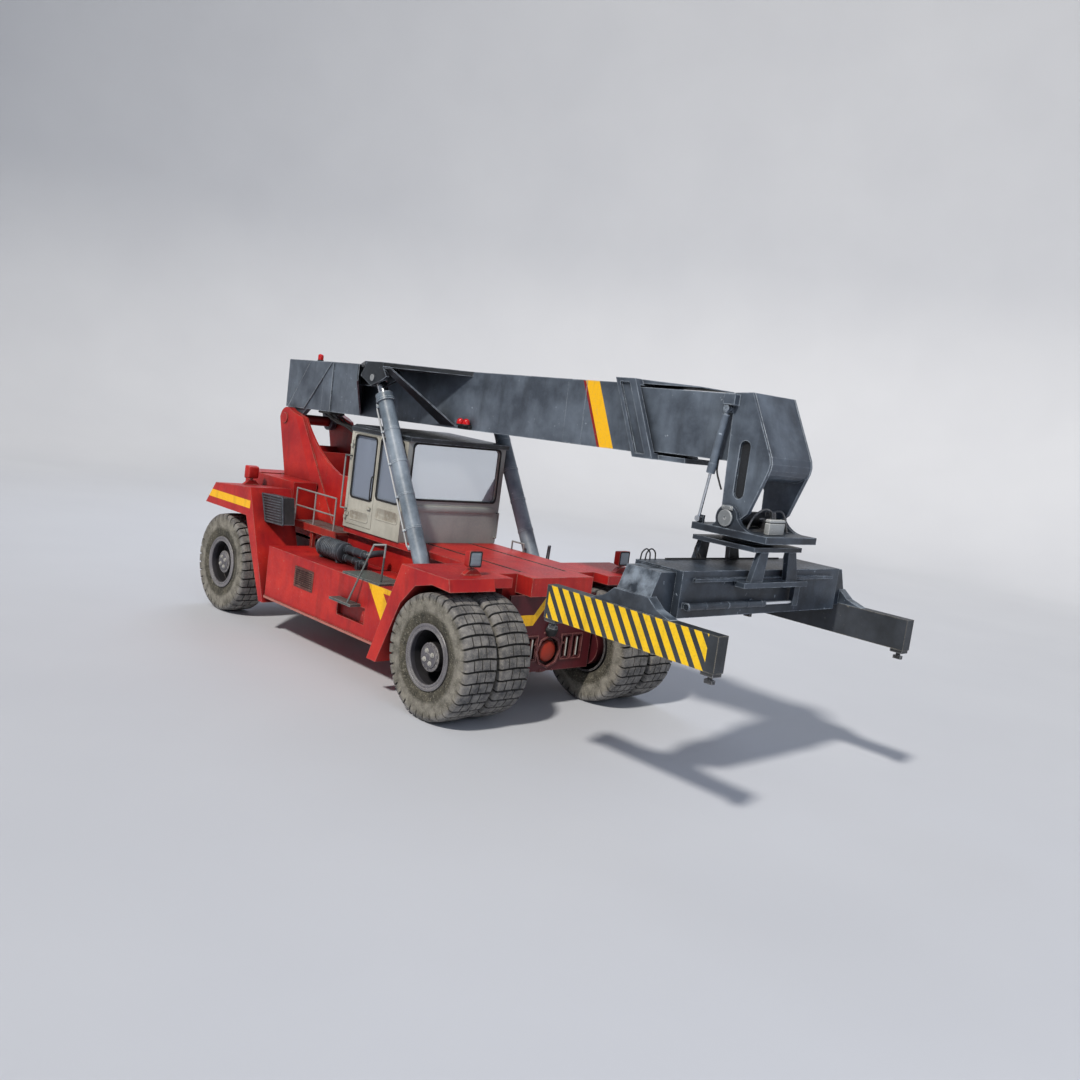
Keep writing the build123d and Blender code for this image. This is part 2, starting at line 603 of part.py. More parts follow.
def make_outer_boom():
    w0, w1 = BOOM_FLOOR, ROOF_W
    solid = raked(REAR_U - 2000, COLLAR_U[1], -HALF_BOOM, HALF_BOOM, w0, w1)
    solid &= block((REAR_U, PAST_COLLAR), (-HALF_BOOM, HALF_BOOM), (w0, w1))
    t = BOOM_PLATE
    solid -= block((REAR_U + 40, PAST_COLLAR), (-HALF_BOOM + t, HALF_BOOM - t), (w0 + t, w1 - t))
    collar = raked(COLLAR_U[0], COLLAR_U[1], -HALF_BOOM - 50, HALF_BOOM + 50, w0 - 60, w1 + 60)
    collar -= block((COLLAR_U[0] - 1000, PAST_COLLAR), (-HALF_BOOM, HALF_BOOM), (w0, w1))
    for side in (-1, 1):
        groove = raked(COLLAR_U[0] + 60, COLLAR_U[1] - 110, 0, 40, w0 - 10, w1 + 10)
        collar -= Pos(0, side * (HALF_BOOM + 40) - 20, 0) * groove
    lugs = joined(*[side_plate([(-150, 0), (-230, w0), (420, w0), (150, 0)], y, y + 90) +
                    cross_rod(0, 0, y, y + 90, 150) for y in (-HALF_BOOM + 10, HALF_BOOM - 100)])
    lugs -= cross_rod(0, 0, -HALF_BOOM, HALF_BOOM, PIVOT_PIN_R + PIN_FIT)
    tongue = side_plate([(COLLAR_U[1] - 40, w1 + 8), (COLLAR_U[1] + 900, w1 + 8), (COLLAR_U[1] + 900, w1 + 20),
                         (COLLAR_U[1] - 40, w1 + 60)], -330, 330)
    low_u = COLLAR_U[1] + (ROOF_W - BOOM_FLOOR) * tan(radians(RAKE))
    pad = block((low_u, low_u + 430), (-330, 330), (w0 - 60, w0))
    wear_pad = block((low_u - 450, low_u - 50), (-300, 300), (w0 + t, w0 + t + FLOOR_GAP - PAD_FIT))
    doubler = side_plate([(469, w1), (1142, w1), (369, w0), (-174, w0)], -HALF_BOOM - 20, -HALF_BOOM)
    web = boom_plate((895, 1195), (w0, w1), 8)
    joint_plate = boom_plate((COLLAR_U[0] - 900, COLLAR_U[0] - 560), (w0 + 6, w1 - 6), 6)
    stiffeners = both_sides(joined(doubler, web, joint_plate))
    return on_boom(joined(solid, collar, lugs, tongue, pad, wear_pad, stiffeners))


def make_boom_lamps():
    """The beacon on the roof and a twin lamp on the right side."""
    beacon = rod((610, -330, ROOF_W), (610, -330, ROOF_W + 25), 55)
    beacon += rod((610, -330, ROOF_W + 25), (610, -330, ROOF_W + 130), 50)
    u = boom_uw(ahead(-1700), 3811)[0]
    base = block((u - 115, u + 115), (-HALF_BOOM - 60, -HALF_BOOM), (BOOM_FLOOR + 70, BOOM_FLOOR + 120))
    base += block((u - 115, u - 25), (-HALF_BOOM - 95, -HALF_BOOM - 15), (BOOM_FLOOR + 120, BOOM_FLOOR + 205))
    base += block((u + 25, u + 115), (-HALF_BOOM - 95, -HALF_BOOM - 15), (BOOM_FLOOR + 120, BOOM_FLOOR + 205))
    return on_boom(joined(beacon, base))


def make_wing_right():
    """The outrigger over a lift cylinder: two ears under a swept roof, a slanted rear wall and
    a strut down to the boom's lower edge. The pin between the ears turns with the rod's eye."""
    eye_u, eye_w = boom_uw(LIFT_EYE_X, LIFT_EYE_Z)
    out = LIFT_Y + EYE_HALF + SIDE_FIT + EAR_T
    inner_ear = LIFT_Y - EYE_HALF - SIDE_FIT
    under_roof = ROOF_W - 70
    front = [(eye_u + 230, under_roof), (eye_u + 340, eye_w + 30), (eye_u + 240, eye_w - 20), (eye_u - 40, eye_w - 120)]
    outer_rear = [(eye_u - 330, eye_w + 20), (eye_u - 230, under_roof)]
    inner_rear = [(eye_u - 700, eye_w - 120), (eye_u - 700, under_roof)]
    ears = side_plate(front + outer_rear, -out, -out + EAR_T)
    ears += side_plate(front + inner_rear, -inner_ear, -inner_ear + EAR_T)
    roof = plan_plate([(eye_u - 1600, -HALF_BOOM), (eye_u - 250, -out), (eye_u + 230, -out),
                       (eye_u + 1330, -HALF_BOOM)], under_roof, ROOF_W)
    room = block((eye_u - 2000, eye_u + 2000), (-out, -HALF_BOOM), (BOOM_FLOOR, ROOF_W))
    wall_points = [(eye_u - 1450, -HALF_BOOM, BOOM_FLOOR + 20), (eye_u - 1450, -HALF_BOOM, under_roof + 20),
                   (eye_u - 385, -out, under_roof + 20), (eye_u - 385, -out, eye_w - 60)]
    wall = make_face(Polyline(*wall_points, close=True))
    wall = extrude(wall, amount=24, dir=Vector(-0.61, -0.79, 0).normalized()) & room
    strut_foot = [Vector(eye_u + x, -HALF_BOOM + 10, BOOM_FLOOR + 40) for x in (680, 1035)]
    strut_head = [Vector(eye_u + x, -out, under_roof + 10) for x in (410, 230)]
    strut_face = make_face(Polyline(*strut_foot, *strut_head, close=True))
    across = (strut_foot[1] - strut_foot[0]).cross(strut_head[1] - strut_foot[0]).normalized()
    strut = extrude(strut_face, amount=22, dir=across * (1 if across.Z < 0 else -1)) & room
    pin_head = cross_rod(eye_u, eye_w, -out - 15, -out, LIFT_PIN_R)
    return on_boom(joined(ears, roof, wall, strut, pin_head))


INNER_HALF = HALF_BOOM - BOOM_PLATE - SLIDE_GAP


def make_inner_boom():
    half, t = INNER_HALF, BOOM_PLATE
    w0, w1 = BOOM_FLOOR + t + FLOOR_GAP, ROOF_W - t - FLOOR_GAP
    end_u = boom_uw(ahead(3200), 4640)[0]
    body = block((500, end_u), (-half, half), (w0, w1))
    return on_boom(body - block((500, end_u), (-half + t, half - t), (w0 + t, w1 - t)))


def make_boom_head():
    """Two slotted side plates with a nose plate bent between them, and a bracket outside each
    for a damping cylinder's pin."""
    points = [(3010, 4628), (3255, 4650), (3612, 3965), (3629, 3890), (3620, 3815), (3427, 3300), (3335, 3218),
              (3065, 3218)]
    across = (-HEAD_OUT, -INNER_HALF)
    plate = side_plate([(ahead(x), z) for x, z in points], *across)
    plate += cross_rod(HEAD_PIN_X, HEAD_PIN_Z, *across, 135)
    slot_x, slot_z, slot_r = ahead(3262), (3520, 4035), 72
    slot = joined(*[cross_rod(slot_x, z, -HEAD_OUT, -HEAD_OUT + 40, slot_r) for z in slot_z],
                  block((slot_x - slot_r, slot_x + slot_r), (-HEAD_OUT, -HEAD_OUT + 40), slot_z))
    plate = plate - slot - cross_rod(HEAD_PIN_X, HEAD_PIN_Z, *across, HEAD_PIN_R)
    bracket = block((ahead(2880), ahead(3015)), across, (DAMP_TOP[1] - 45, 4620))
    bracket += block((ahead(2925), ahead(3085)), (-DAMP_Y - 32, -HEAD_OUT), (DAMP_TOP[1] + 46, 4608))
    bracket += cross_rod(*DAMP_TOP, -DAMP_Y - 32, -HEAD_OUT, DAMP_PIN_R)
    nose = [(3255, 4650), (3612, 3965), (3629, 3890), (3622, 3820), (3598, 3768), (3560, 3730), (3505, 3704),
            (3440, 3690), (3440, 3720), (3495, 3733), (3541, 3757), (3570, 3790), (3590, 3832), (3597, 3890),
            (3582, 3960), (3218, 4648)]
    nose = side_plate([(ahead(x), z) for x, z in nose], -INNER_HALF, INNER_HALF)
    return joined(both_sides(joined(plate, bracket)), nose)


def make_head_pin():
    return cross_rod(HEAD_PIN_X, HEAD_PIN_Z, -EAR_OUT - 20, EAR_OUT + 20, HEAD_PIN_R)


# ---------------------------------------------------------------- cylinders
def along(start, end, distance):
    """The place at a distance from start towards end, in the XZ plane."""
    dx, dz = end[0] - start[0], end[1] - start[1]
    length = hypot(dx, dz)
    return (start[0] + dx * distance / length, start[1] + dz * distance / length)


def make_barrel(base, eye, y, length, outer, rod_r, eye_r, pin_r, half_width):
    """A cylinder's barrel with its base eye, open at the gland end, where the rod runs."""
    start, end = along(base, eye, eye_r + 30), along(base, eye, length)
    floor, gland = along(base, eye, eye_r + 80), along(base, eye, length - 120)
    body = rod((start[0], y, start[1]), (end[0], y, end[1]), outer)
    body += rod((base[0], y, base[1]), (start[0], y, start[1]), half_width - 5)
    body += rod((gland[0], y, gland[1]), (end[0], y, end[1]), outer * 1.13)
    body += cross_rod(base[0], base[1], y - half_width, y + half_width, eye_r)
    body -= rod((floor[0], y, floor[1]), (gland[0], y, gland[1]), rod_r + 5)
    body -= rod((gland[0], y, gland[1]), (end[0], y, end[1]), rod_r + PAD_FIT)
    return body - cross_rod(base[0], base[1], y - half_width - 5, y + half_width + 5, pin_r + PIN_FIT)


def make_piston_rod(base, eye, y, inside, radius, eye_r, pin_r, half_width):
    """The rod from a place inside the barrel to its own eye, with the eye's pin in it."""
    start = along(base, eye, inside)
    end = along(eye, base, eye_r - 10)
    body = rod((start[0], y, start[1]), (end[0], y, end[1]), radius)
    body += cross_rod(eye[0], eye[1], y - half_width, y + half_width, eye_r)
    return body + cross_rod(eye[0], eye[1], y - half_width - SIDE_FIT / 2, y + half_width + SIDE_FIT / 2, pin_r)


LIFT_BASE, LIFT_EYE = (LIFT_BASE_X, LIFT_BASE_Z), (LIFT_EYE_X, LIFT_EYE_Z)
LIFT_LENGTH = hypot(LIFT_EYE_X - LIFT_BASE_X, LIFT_EYE_Z - LIFT_BASE_Z)


def make_lift_barrel_right():
    return make_barrel(LIFT_BASE, LIFT_EYE, -LIFT_Y, LIFT_LENGTH - 265, 118, LIFT_ROD_R, 110, LIFT_PIN_R,
                       EYE_HALF)


def make_lift_rod_right():
    return make_piston_rod(LIFT_BASE, LIFT_EYE, -LIFT_Y, 240, LIFT_ROD_R, 90, LIFT_PIN_R, EYE_HALF)


def make_lift_bracket_right():
    """A fork on the frame for a lift cylinder's base pin."""
    inner_y = -LIFT_Y + EYE_HALF + SIDE_FIT
    outer_y = -LIFT_Y - EYE_HALF - SIDE_FIT
    x = (LIFT_BASE_X - 100, LIFT_BASE_X + 100)
    fork = block(x, (inner_y, -GIRDER_OUT), (830, LIFT_BASE_Z))
    fork += block(x, (outer_y - 30, outer_y), (830, LIFT_BASE_Z))
    fork += block(x, (outer_y, inner_y), (830, 870))
    fork += cross_rod(LIFT_BASE_X, LIFT_BASE_Z, inner_y, -GIRDER_OUT, 100)
    fork += cross_rod(LIFT_BASE_X, LIFT_BASE_Z, outer_y - 30, outer_y, 100)
    pin = cross_rod(LIFT_BASE_X, LIFT_BASE_Z, outer_y - 30, inner_y + 20, LIFT_PIN_R)
    return joined(fork, pin)


def make_damper_barrel_right():
    return make_barrel(DAMP_TOP, DAMP_FOOT, -DAMP_Y, 760, DAMP_BARREL_R, DAMP_ROD_R, 38, DAMP_PIN_R, 28)


def make_damper_rod_right():
    return make_piston_rod(DAMP_TOP, DAMP_FOOT, -DAMP_Y, 500, DAMP_ROD_R, 36, DAMP_PIN_R, 28)


# ---------------------------------------------------------------- spreader
def make_tilt_frame():
    """A thick plate with two ears swept up to the head pin, and a lug beside each damping
    cylinder's foot."""
    top = 3100
    plate = block((ahead(2735), ahead(3785)), (-500, 500), (3020, top))
    ear_y = (-EAR_OUT, -HEAD_OUT - 10)
    rear = ThreePointArc((ahead(2960), ear_y[0], top), (ahead(3045), ear_y[0], 3138), (ahead(3080), ear_y[0], 3190))
    front = ThreePointArc((ahead(3335), ear_y[0], 3250), (ahead(3440), ear_y[0], 3150), (ahead(3600), ear_y[0], top))
    edges = [rear, Line(rear @ 1, front @ 0), front, Line(front @ 1, rear @ 0)]
    ear = extrude(make_face(edges), amount=ear_y[1] - ear_y[0], dir=(0, 1, 0))
    ear += cross_rod(HEAD_PIN_X, HEAD_PIN_Z, *ear_y, 150)
    ear -= cross_rod(HEAD_PIN_X, HEAD_PIN_Z, *ear_y, HEAD_PIN_R + PIN_FIT)
    lug_y = -DAMP_Y + 28 + SIDE_FIT
    lug = block((DAMP_FOOT[0] - 45, DAMP_FOOT[0] + 45), (lug_y, lug_y + 30), (top, DAMP_FOOT[1] + 45))
    ring = rod((SPREADER_X, 0, 2955), (SPREADER_X, 0, 3020), 300)
    scoop = cross_rod(HEAD_PIN_X, HEAD_PIN_Z, -HEAD_OUT - 10, -INNER_HALF + 10, 145)
    return joined(plate - both_sides(scoop), both_sides(ear), both_sides(lug), ring)


def make_rotator_motor():
    """A hydraulic motor on its gearbox, with the valve box beside it."""
    box = block((ahead(3545), ahead(3660)), (-250, 10), (3100, 3275))
    gearbox = rod((ahead(3430), 30, 3100), (ahead(3430), 30, 3255), 125)
    motor = rod((ahead(3430), 30, 3255), (ahead(3430), 30, 3345), 65)
    return joined(box, gearbox, motor)


def make_rotator_frame():
    low = SPREADER_Z[1] + 220
    plate = block((SPREADER_X - 440, SPREADER_X + 440), (-470, 470), (low, 2954.5))
    pieces = [plate]
    rail_low = RAIL_Z[0] - 0.5
    for side in (-1, 1):
        x0 = SPREADER_X + side * (SPREADER_HALF_X + 45)
        x1 = SPREADER_X + side * (SPREADER_HALF_X + 110)
        x = (min(x0, x1), max(x0, x1))
        for y in (-1, 1):
            leg = front_plate([(y * 200, low), (y * 350, low), (y * 480, rail_low - 60), (y * 240, rail_low - 60)],
                              x[0], x[1])
            pieces.append(leg)
        shelf_x = (SPREADER_X + side * (SPREADER_HALF_X + 6), SPREADER_X + side * (SPREADER_HALF_X + 150))
        pieces.append(block((min(shelf_x), max(shelf_x)), (-620, 620), (rail_low - 60, rail_low)))
    tail = block((SPREADER_X + SPREADER_HALF_X + 45, SPREADER_X + SPREADER_HALF_X + 110), (440, 540),
                 (SHIFT_CYL_Z - 40, rail_low - 60))
    pieces.append(tail)
    rod_x = SPREADER_X + SPREADER_HALF_X + 78
    pieces.append(rod((rod_x, -620, SHIFT_CYL_Z), (rod_x, 440, SHIFT_CYL_Z), 18))
    return joined(*pieces)


def make_spreader_body():
    body = block((SPREADER_X - SPREADER_HALF_X, SPREADER_X + SPREADER_HALF_X),
                 (-SPREADER_HALF_Y, SPREADER_HALF_Y), SPREADER_Z)
    body -= block((SPREADER_X - ARM_HALF - 6, SPREADER_X + ARM_HALF + 6),
                  (-SPREADER_HALF_Y, SPREADER_HALF_Y), (SPREADER_Z[0] + BODY_WALL, SPREADER_Z[1] - BODY_WALL))
    rails = [block(x, (-1350, 1350), RAIL_Z) for x in
             ((SPREADER_X + SPREADER_HALF_X, SPREADER_X + SPREADER_HALF_X + 40),
              (SPREADER_X - SPREADER_HALF_X - 40, SPREADER_X - SPREADER_HALF_X))]
    rod_x = SPREADER_X + SPREADER_HALF_X + 78
    barrel = tube((rod_x, -1500, SHIFT_CYL_Z), (rod_x, -100, SHIFT_CYL_Z), 38, 19)
    feet = [block((SPREADER_X + SPREADER_HALF_X, rod_x - 38 + 8), (y, y + 60), (SHIFT_CYL_Z - 30, SHIFT_CYL_Z + 30))
            for y in (-1480, -260)]
    return joined(body, *rails, barrel, *feet)


def make_arm_right():
    """A box that slides in the body, cut off at a slope, and flared down to the end beam."""
    z0, z1 = SPREADER_Z[0] + BODY_WALL + PAD_FIT, SPREADER_Z[1] - BODY_WALL - 6
    joint_y = -BEAM_OUT + BEAM_T
    slope_foot, beam_top = 2390, BEAM_Z[1]
    x = (SPREADER_X - ARM_HALF, SPREADER_X + ARM_HALF)
    profile = [(-30, z0), (-30, z1), (joint_y + 18, z1), (-BEAM_OUT + 67, slope_foot), (-BEAM_OUT + 67, beam_top),
               (joint_y, beam_top), (joint_y, z0)]
    bar = front_plate(profile, *x)
    bar -= block((x[0] + 16, x[1] - 16), (-SPREADER_HALF_Y, -30), (z0 + 16, z1 - 16))
    flare = []
    for side in (-1, 1):
        edge = [(ARM_HALF, slope_foot), (ARM_HALF + 130, slope_foot - 105), (575, beam_top), (ARM_HALF, beam_top)]
        flare.append(side_plate([(SPREADER_X + side * u, w) for u, w in edge], -BEAM_OUT + 25, joint_y))
    cover = side_plate([(x[0], beam_top), (x[0], slope_foot), (x[1], slope_foot), (x[1], beam_top)],
                       -BEAM_OUT + 25, -BEAM_OUT + 67)
    return joined(bar, *flare, cover)


def make_end_beam_right():
    x = (SPREADER_X - BEAM_LENGTH / 2, SPREADER_X + BEAM_LENGTH / 2)
    beam = block(x, (-BEAM_OUT, -BEAM_OUT + BEAM_T), BEAM_Z)
    return beam - block((x[0] + 20, x[1] - 20), (-BEAM_OUT + 16, -BEAM_OUT + BEAM_T - 16), (BEAM_Z[0] + 16, BEAM_Z[1] - 16))


def make_twistlocks_right():
    y = -BEAM_OUT + BEAM_T / 2
    pieces = []
    for side in (-1, 1):
        x = SPREADER_X + side * 1129.5
        pieces.append(block((x - 80, x + 80), (y - 70, y + 70), (BEAM_Z[0] - 40, BEAM_Z[0])))
        pieces.append(rod((x, y, BEAM_Z[0] - 80), (x, y, BEAM_Z[0] - 40), LOCK_R))
        pieces.append(block((x - 50, x + 50), (y - 27, y + 27), (BEAM_Z[0] - 122, BEAM_Z[0] - 80)))
    return joined(*pieces)


NODES = {
    "main_frame": make_main_frame,
    "front_deck": make_front_deck,
    "boom_tower": make_tower,
    "counterweight": make_counterweight,
    "front_axle": make_front_axle,
    "rear_axle": make_rear_axle,
    "engine_block": make_engine_block,
    "cab_shell": make_cab_shell,
    "cab_roof": make_cab_roof,
    "grab_rails": make_grab_rails,
    "cab_glass": make_cab_glass,
    "cab_door": make_door,
    "door_glass": lambda: pane(*door_window()),
    "driver_seat": make_driver_seat,
    "console": make_console,
    "outer_boom": make_outer_boom,
    "boom_lamps": make_boom_lamps,
    "inner_boom": make_inner_boom,
    "boom_head": make_boom_head,
    "head_pin": make_head_pin,
    "tilt_frame": make_tilt_frame,
    "rotator_motor": make_rotator_motor,
    "rotator_frame": make_rotator_frame,
    "spreader_body": make_spreader_body,
}

BOTH_SIDES = {
    "front_fenders": make_fender_right,
    "side_boxes": make_side_box_right,
    "rear_fenders": make_rear_fender_right,
    "lift_brackets": make_lift_bracket_right,
    "walkways": make_walkway_right,
    "boarding_steps": make_steps_right,
    "canisters": make_canister_right,
    "intake_boxes": make_intake_box_right,
    "work_lamps": make_work_lamps_right,
    "boom_wings": make_wing_right,
    "damper_barrels": make_damper_barrel_right,
    "damper_rods": make_damper_rod_right,
}


def make_front_tyres_right():
    outer_y = -FRONT_TRACK_OUT + TYRE_W / 2
    return joined(make_tyre(FRONT_AXLE_X, outer_y), make_tyre(FRONT_AXLE_X, outer_y + DUAL_PITCH))


PAIRS = {
    "rear_knuckle": make_knuckle_right,
    "front_tyres": make_front_tyres_right,
    "front_rim": lambda: make_rim(FRONT_AXLE_X, FRONT_TRACK_OUT - 20, FRONT_TRACK_OUT - TYRE_W - DUAL_PITCH + 20,
                                  FRONT_TRACK_OUT - 540, (FRONT_TRACK_OUT - 610, FRONT_TRACK_OUT - HUB_RECESS), SPINDLE_R),
    "rear_tyre": lambda: make_tyre(REAR_AXLE_X, -REAR_TRACK_OUT + TYRE_W / 2),
    "rear_rim": lambda: make_rim(REAR_AXLE_X, REAR_TRACK_OUT - 20, REAR_TRACK_OUT - TYRE_W + 20,
                                 REAR_TRACK_OUT - 254, (REAR_TRACK_OUT - 464, REAR_TRACK_OUT - HUB_RECESS),
                                 SPINDLE_R - 20),
    "lift_barrel": make_lift_barrel_right,
    "lift_rod": make_lift_rod_right,
    "spreader_arm": make_arm_right,
    "end_beam": make_end_beam_right,
    "twistlocks": make_twistlocks_right,
}

for name, make in NODES.items():
    save(name, make())
for name, make in BOTH_SIDES.items():
    save(name, both_sides(make()))
for name, make in PAIRS.items():
    save_pair(name, make())
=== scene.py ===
"""A reach stacker: a telescopic boom over a central cab, with a rotating spreader for containers."""
from math import cos, pi, radians, sin

import bmesh
import bpy
import numpy as np
from mathutils import Matrix, Vector


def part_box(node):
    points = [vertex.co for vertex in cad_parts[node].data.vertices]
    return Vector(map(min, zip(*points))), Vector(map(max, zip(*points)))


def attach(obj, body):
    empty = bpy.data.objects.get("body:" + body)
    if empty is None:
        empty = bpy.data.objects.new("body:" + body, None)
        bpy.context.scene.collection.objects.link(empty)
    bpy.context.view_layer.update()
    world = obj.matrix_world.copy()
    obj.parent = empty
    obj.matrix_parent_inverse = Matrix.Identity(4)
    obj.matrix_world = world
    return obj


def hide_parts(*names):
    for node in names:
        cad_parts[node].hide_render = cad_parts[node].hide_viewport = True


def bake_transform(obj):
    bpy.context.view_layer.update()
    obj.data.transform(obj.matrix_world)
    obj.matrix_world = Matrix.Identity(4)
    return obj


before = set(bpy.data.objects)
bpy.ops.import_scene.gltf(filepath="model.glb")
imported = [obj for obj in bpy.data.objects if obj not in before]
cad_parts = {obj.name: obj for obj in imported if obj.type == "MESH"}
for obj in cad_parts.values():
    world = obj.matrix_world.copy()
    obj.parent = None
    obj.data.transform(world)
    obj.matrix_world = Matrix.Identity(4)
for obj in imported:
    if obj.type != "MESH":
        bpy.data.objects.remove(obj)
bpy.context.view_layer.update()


# ---------------------------------------------------------------- camera, lamps and floor
# A pale studio floor that curves up into its walls, under one key lamp, high on the machine's
# right side, with a weaker fill in front and behind and an even light from the room.
CAMERA_PLACE = Vector((11.8781, -10.3987, 4.2159))
CAMERA_YAW, CAMERA_PITCH, CAMERA_ROLL = radians(-46.09), radians(-7.171), radians(7.586)
CAMERA_LENS = 35.85
KEY_FROM = Vector((0.307, -0.911, 1.0)).normalized()


def linear(colour):
    """An sRGB hex colour as linear light: each channel through the sRGB curve."""
    channels = np.array([int(colour[i:i + 2], 16) for i in (1, 3, 5)]) / 255
    curve = np.where(channels <= 0.04045, channels / 12.92, ((channels + 0.055) / 1.055) ** 2.4)
    return (*curve.tolist(), 1.0)


def feed(tree, socket, value):
    """Gives an input a number, a direction, a hex colour, or what another node puts out: the
    output itself, or a node, which stands for its first live output."""
    if isinstance(value, str):
        socket.default_value = linear(value)
    elif isinstance(value, bpy.types.Node):
        tree.links.new(next(output for output in value.outputs if output.enabled), socket)
    elif isinstance(value, bpy.types.NodeSocket):
        tree.links.new(value, socket)
    else:
        socket.default_value = value


def add(tree, kind, *inputs, **named):
    """Adds a shader node. A named value is a property or the input of that name, and the
    others go to the node's live inputs in turn."""
    node = tree.nodes.new("ShaderNode" + kind)
    for key, value in named.items():
        if hasattr(node, key):
            setattr(node, key, value)
        else:
            feed(tree, node.inputs[key], value)
    for socket, value in zip([socket for socket in node.inputs if socket.enabled], inputs):
        feed(tree, socket, value)
    return node


def new_finish(name, **values):
    """An empty finish, its shader nodes, its Principled shader with these values, and the place
    on the object that its patterns start from."""
    material = bpy.data.materials.new(name)
    material.use_nodes = True
    tree = material.node_tree
    shader = tree.nodes["Principled BSDF"]
    for key, value in values.items():
        feed(tree, shader.inputs[key.replace("_", " ")], value)
    return material, tree, shader, add(tree, "TexCoord").outputs["Object"]


def area_lamp(name, towards, distance, size, watts, colour):
    """A square lamp at that distance from the machine's middle, facing it."""
    lamp = bpy.data.lights.new(name, "AREA")
    lamp.size = size
    lamp.energy = watts
    lamp.color = linear(colour)[:3]
    holder = bpy.data.objects.new(name, lamp)
    bpy.context.collection.objects.link(holder)
    middle = Vector((0, 0, 1.5))
    holder.location = middle + towards.normalized() * distance
    holder.rotation_euler = (-towards).to_track_quat("-Z", "Y").to_euler()


forward = Vector((sin(CAMERA_YAW) * cos(CAMERA_PITCH), cos(CAMERA_YAW) * cos(CAMERA_PITCH),
                  sin(CAMERA_PITCH)))
level_right = Vector((cos(CAMERA_YAW), -sin(CAMERA_YAW), 0))
level_up = level_right.cross(forward)
right = cos(CAMERA_ROLL) * level_right + sin(CAMERA_ROLL) * level_up
up = cos(CAMERA_ROLL) * level_up - sin(CAMERA_ROLL) * level_right
camera = bpy.data.objects.new("camera", bpy.data.cameras.new("camera"))
camera.data.lens = CAMERA_LENS
camera.data.sensor_width = 36
camera.data.clip_end = 400
camera_turn = Matrix((right, up, -forward)).transposed().to_4x4()
camera.matrix_world = Matrix.Translation(CAMERA_PLACE) @ camera_turn
bpy.context.collection.objects.link(camera)
bpy.context.scene.camera = camera

key_lamp = bpy.data.objects.new("key_lamp", bpy.data.lights.new("key_lamp", "SUN"))
key_lamp.data.energy = 3.1
key_lamp.data.angle = radians(5)
key_lamp.data.color = linear("#fff8ee")[:3]
key_lamp.rotation_euler = (-KEY_FROM).to_track_quat("-Z", "Y").to_euler()
bpy.context.collection.objects.link(key_lamp)
area_lamp("front_lamp", Vector((1.0, -0.35, 0.55)), 20, 9.0, 620, "#dfe9ff")
area_lamp("rear_lamp", Vector((-0.9, 0.5, 0.9)), 20, 9.0, 700, "#dfe9ff")

world = bpy.data.worlds.new("studio")
bpy.context.scene.world = world
bpy.context.scene.view_settings.view_transform = "Standard"
world.use_nodes = True
world.node_tree.nodes["Background"].inputs["Color"].default_value = linear("#dfe5ee")
world.node_tree.nodes["Background"].inputs["Strength"].default_value = 0.27

floor_finish, tree, shader, place = new_finish("painted_studio_floor", Roughness=0.7)
cloud = add(tree, "TexNoise", place, 0.25, 3.0)
feed(tree, shader.inputs["Base Color"], add(tree, "Mix", cloud, "#bcc0c8", "#c6cad1", data_type="RGBA"))
FLAT_RADIUS, CURVE_RADIUS, WALL_HEIGHT = 26.0, 12.0, 30.0
curve = np.linspace(0, pi / 2, 24)
reach = np.concatenate([[0.01, 13.0], FLAT_RADIUS + CURVE_RADIUS * np.sin(curve),
                        [FLAT_RADIUS + CURVE_RADIUS]])
rise = np.concatenate([[0, 0], CURVE_RADIUS * (1 - np.cos(curve)), [WALL_HEIGHT]])
turn = np.linspace(0, 2 * pi, 97)[:-1]
bowl = np.stack([reach[:, None] * np.cos(turn), reach[:, None] * np.sin(turn), rise[:, None] + 0 * turn],
                axis=-1)
ring = np.arange(96)
quads = [np.stack([k * 96 + ring, k * 96 + (ring + 1) % 96, (k + 1) * 96 + (ring + 1) % 96,
                   (k + 1) * 96 + ring], axis=-1)
         for k in range(len(reach) - 1)]
floor_mesh = bpy.data.meshes.new("floor")
floor_mesh.from_pydata(bowl.reshape(-1, 3).tolist(), [], np.concatenate(quads).tolist() + [ring.tolist()])
floor_mesh.polygons.foreach_set("use_smooth", [True] * len(floor_mesh.polygons))
floor_mesh.materials.append(floor_finish)
floor = bpy.data.objects.new("floor", floor_mesh)
bpy.context.collection.objects.link(floor)
floor.visible_shadow = False  # its far walls don't stand in the key lamp's way


# ---------------------------------------------------------------- painted steelwork
# Welded plate and box sections, sprayed with two-pack enamel years ago. The enamel has faded
# in patches and is rubbed to primer and steel at the edges, and painted shade darkens its corners.
X_AXIS, Y_AXIS, Z_AXIS = np.eye(3)


def band(tree, place, across, low, high):
    """1 between two parallel planes: the place measured along across, between low and high."""
    along = add(tree, "VectorMath", place, across, operation="DOT_PRODUCT")
    middle, half = (low + high) / 2, (high - low) / 2
    return add(tree, "Math", along, middle, half, operation="COMPARE")


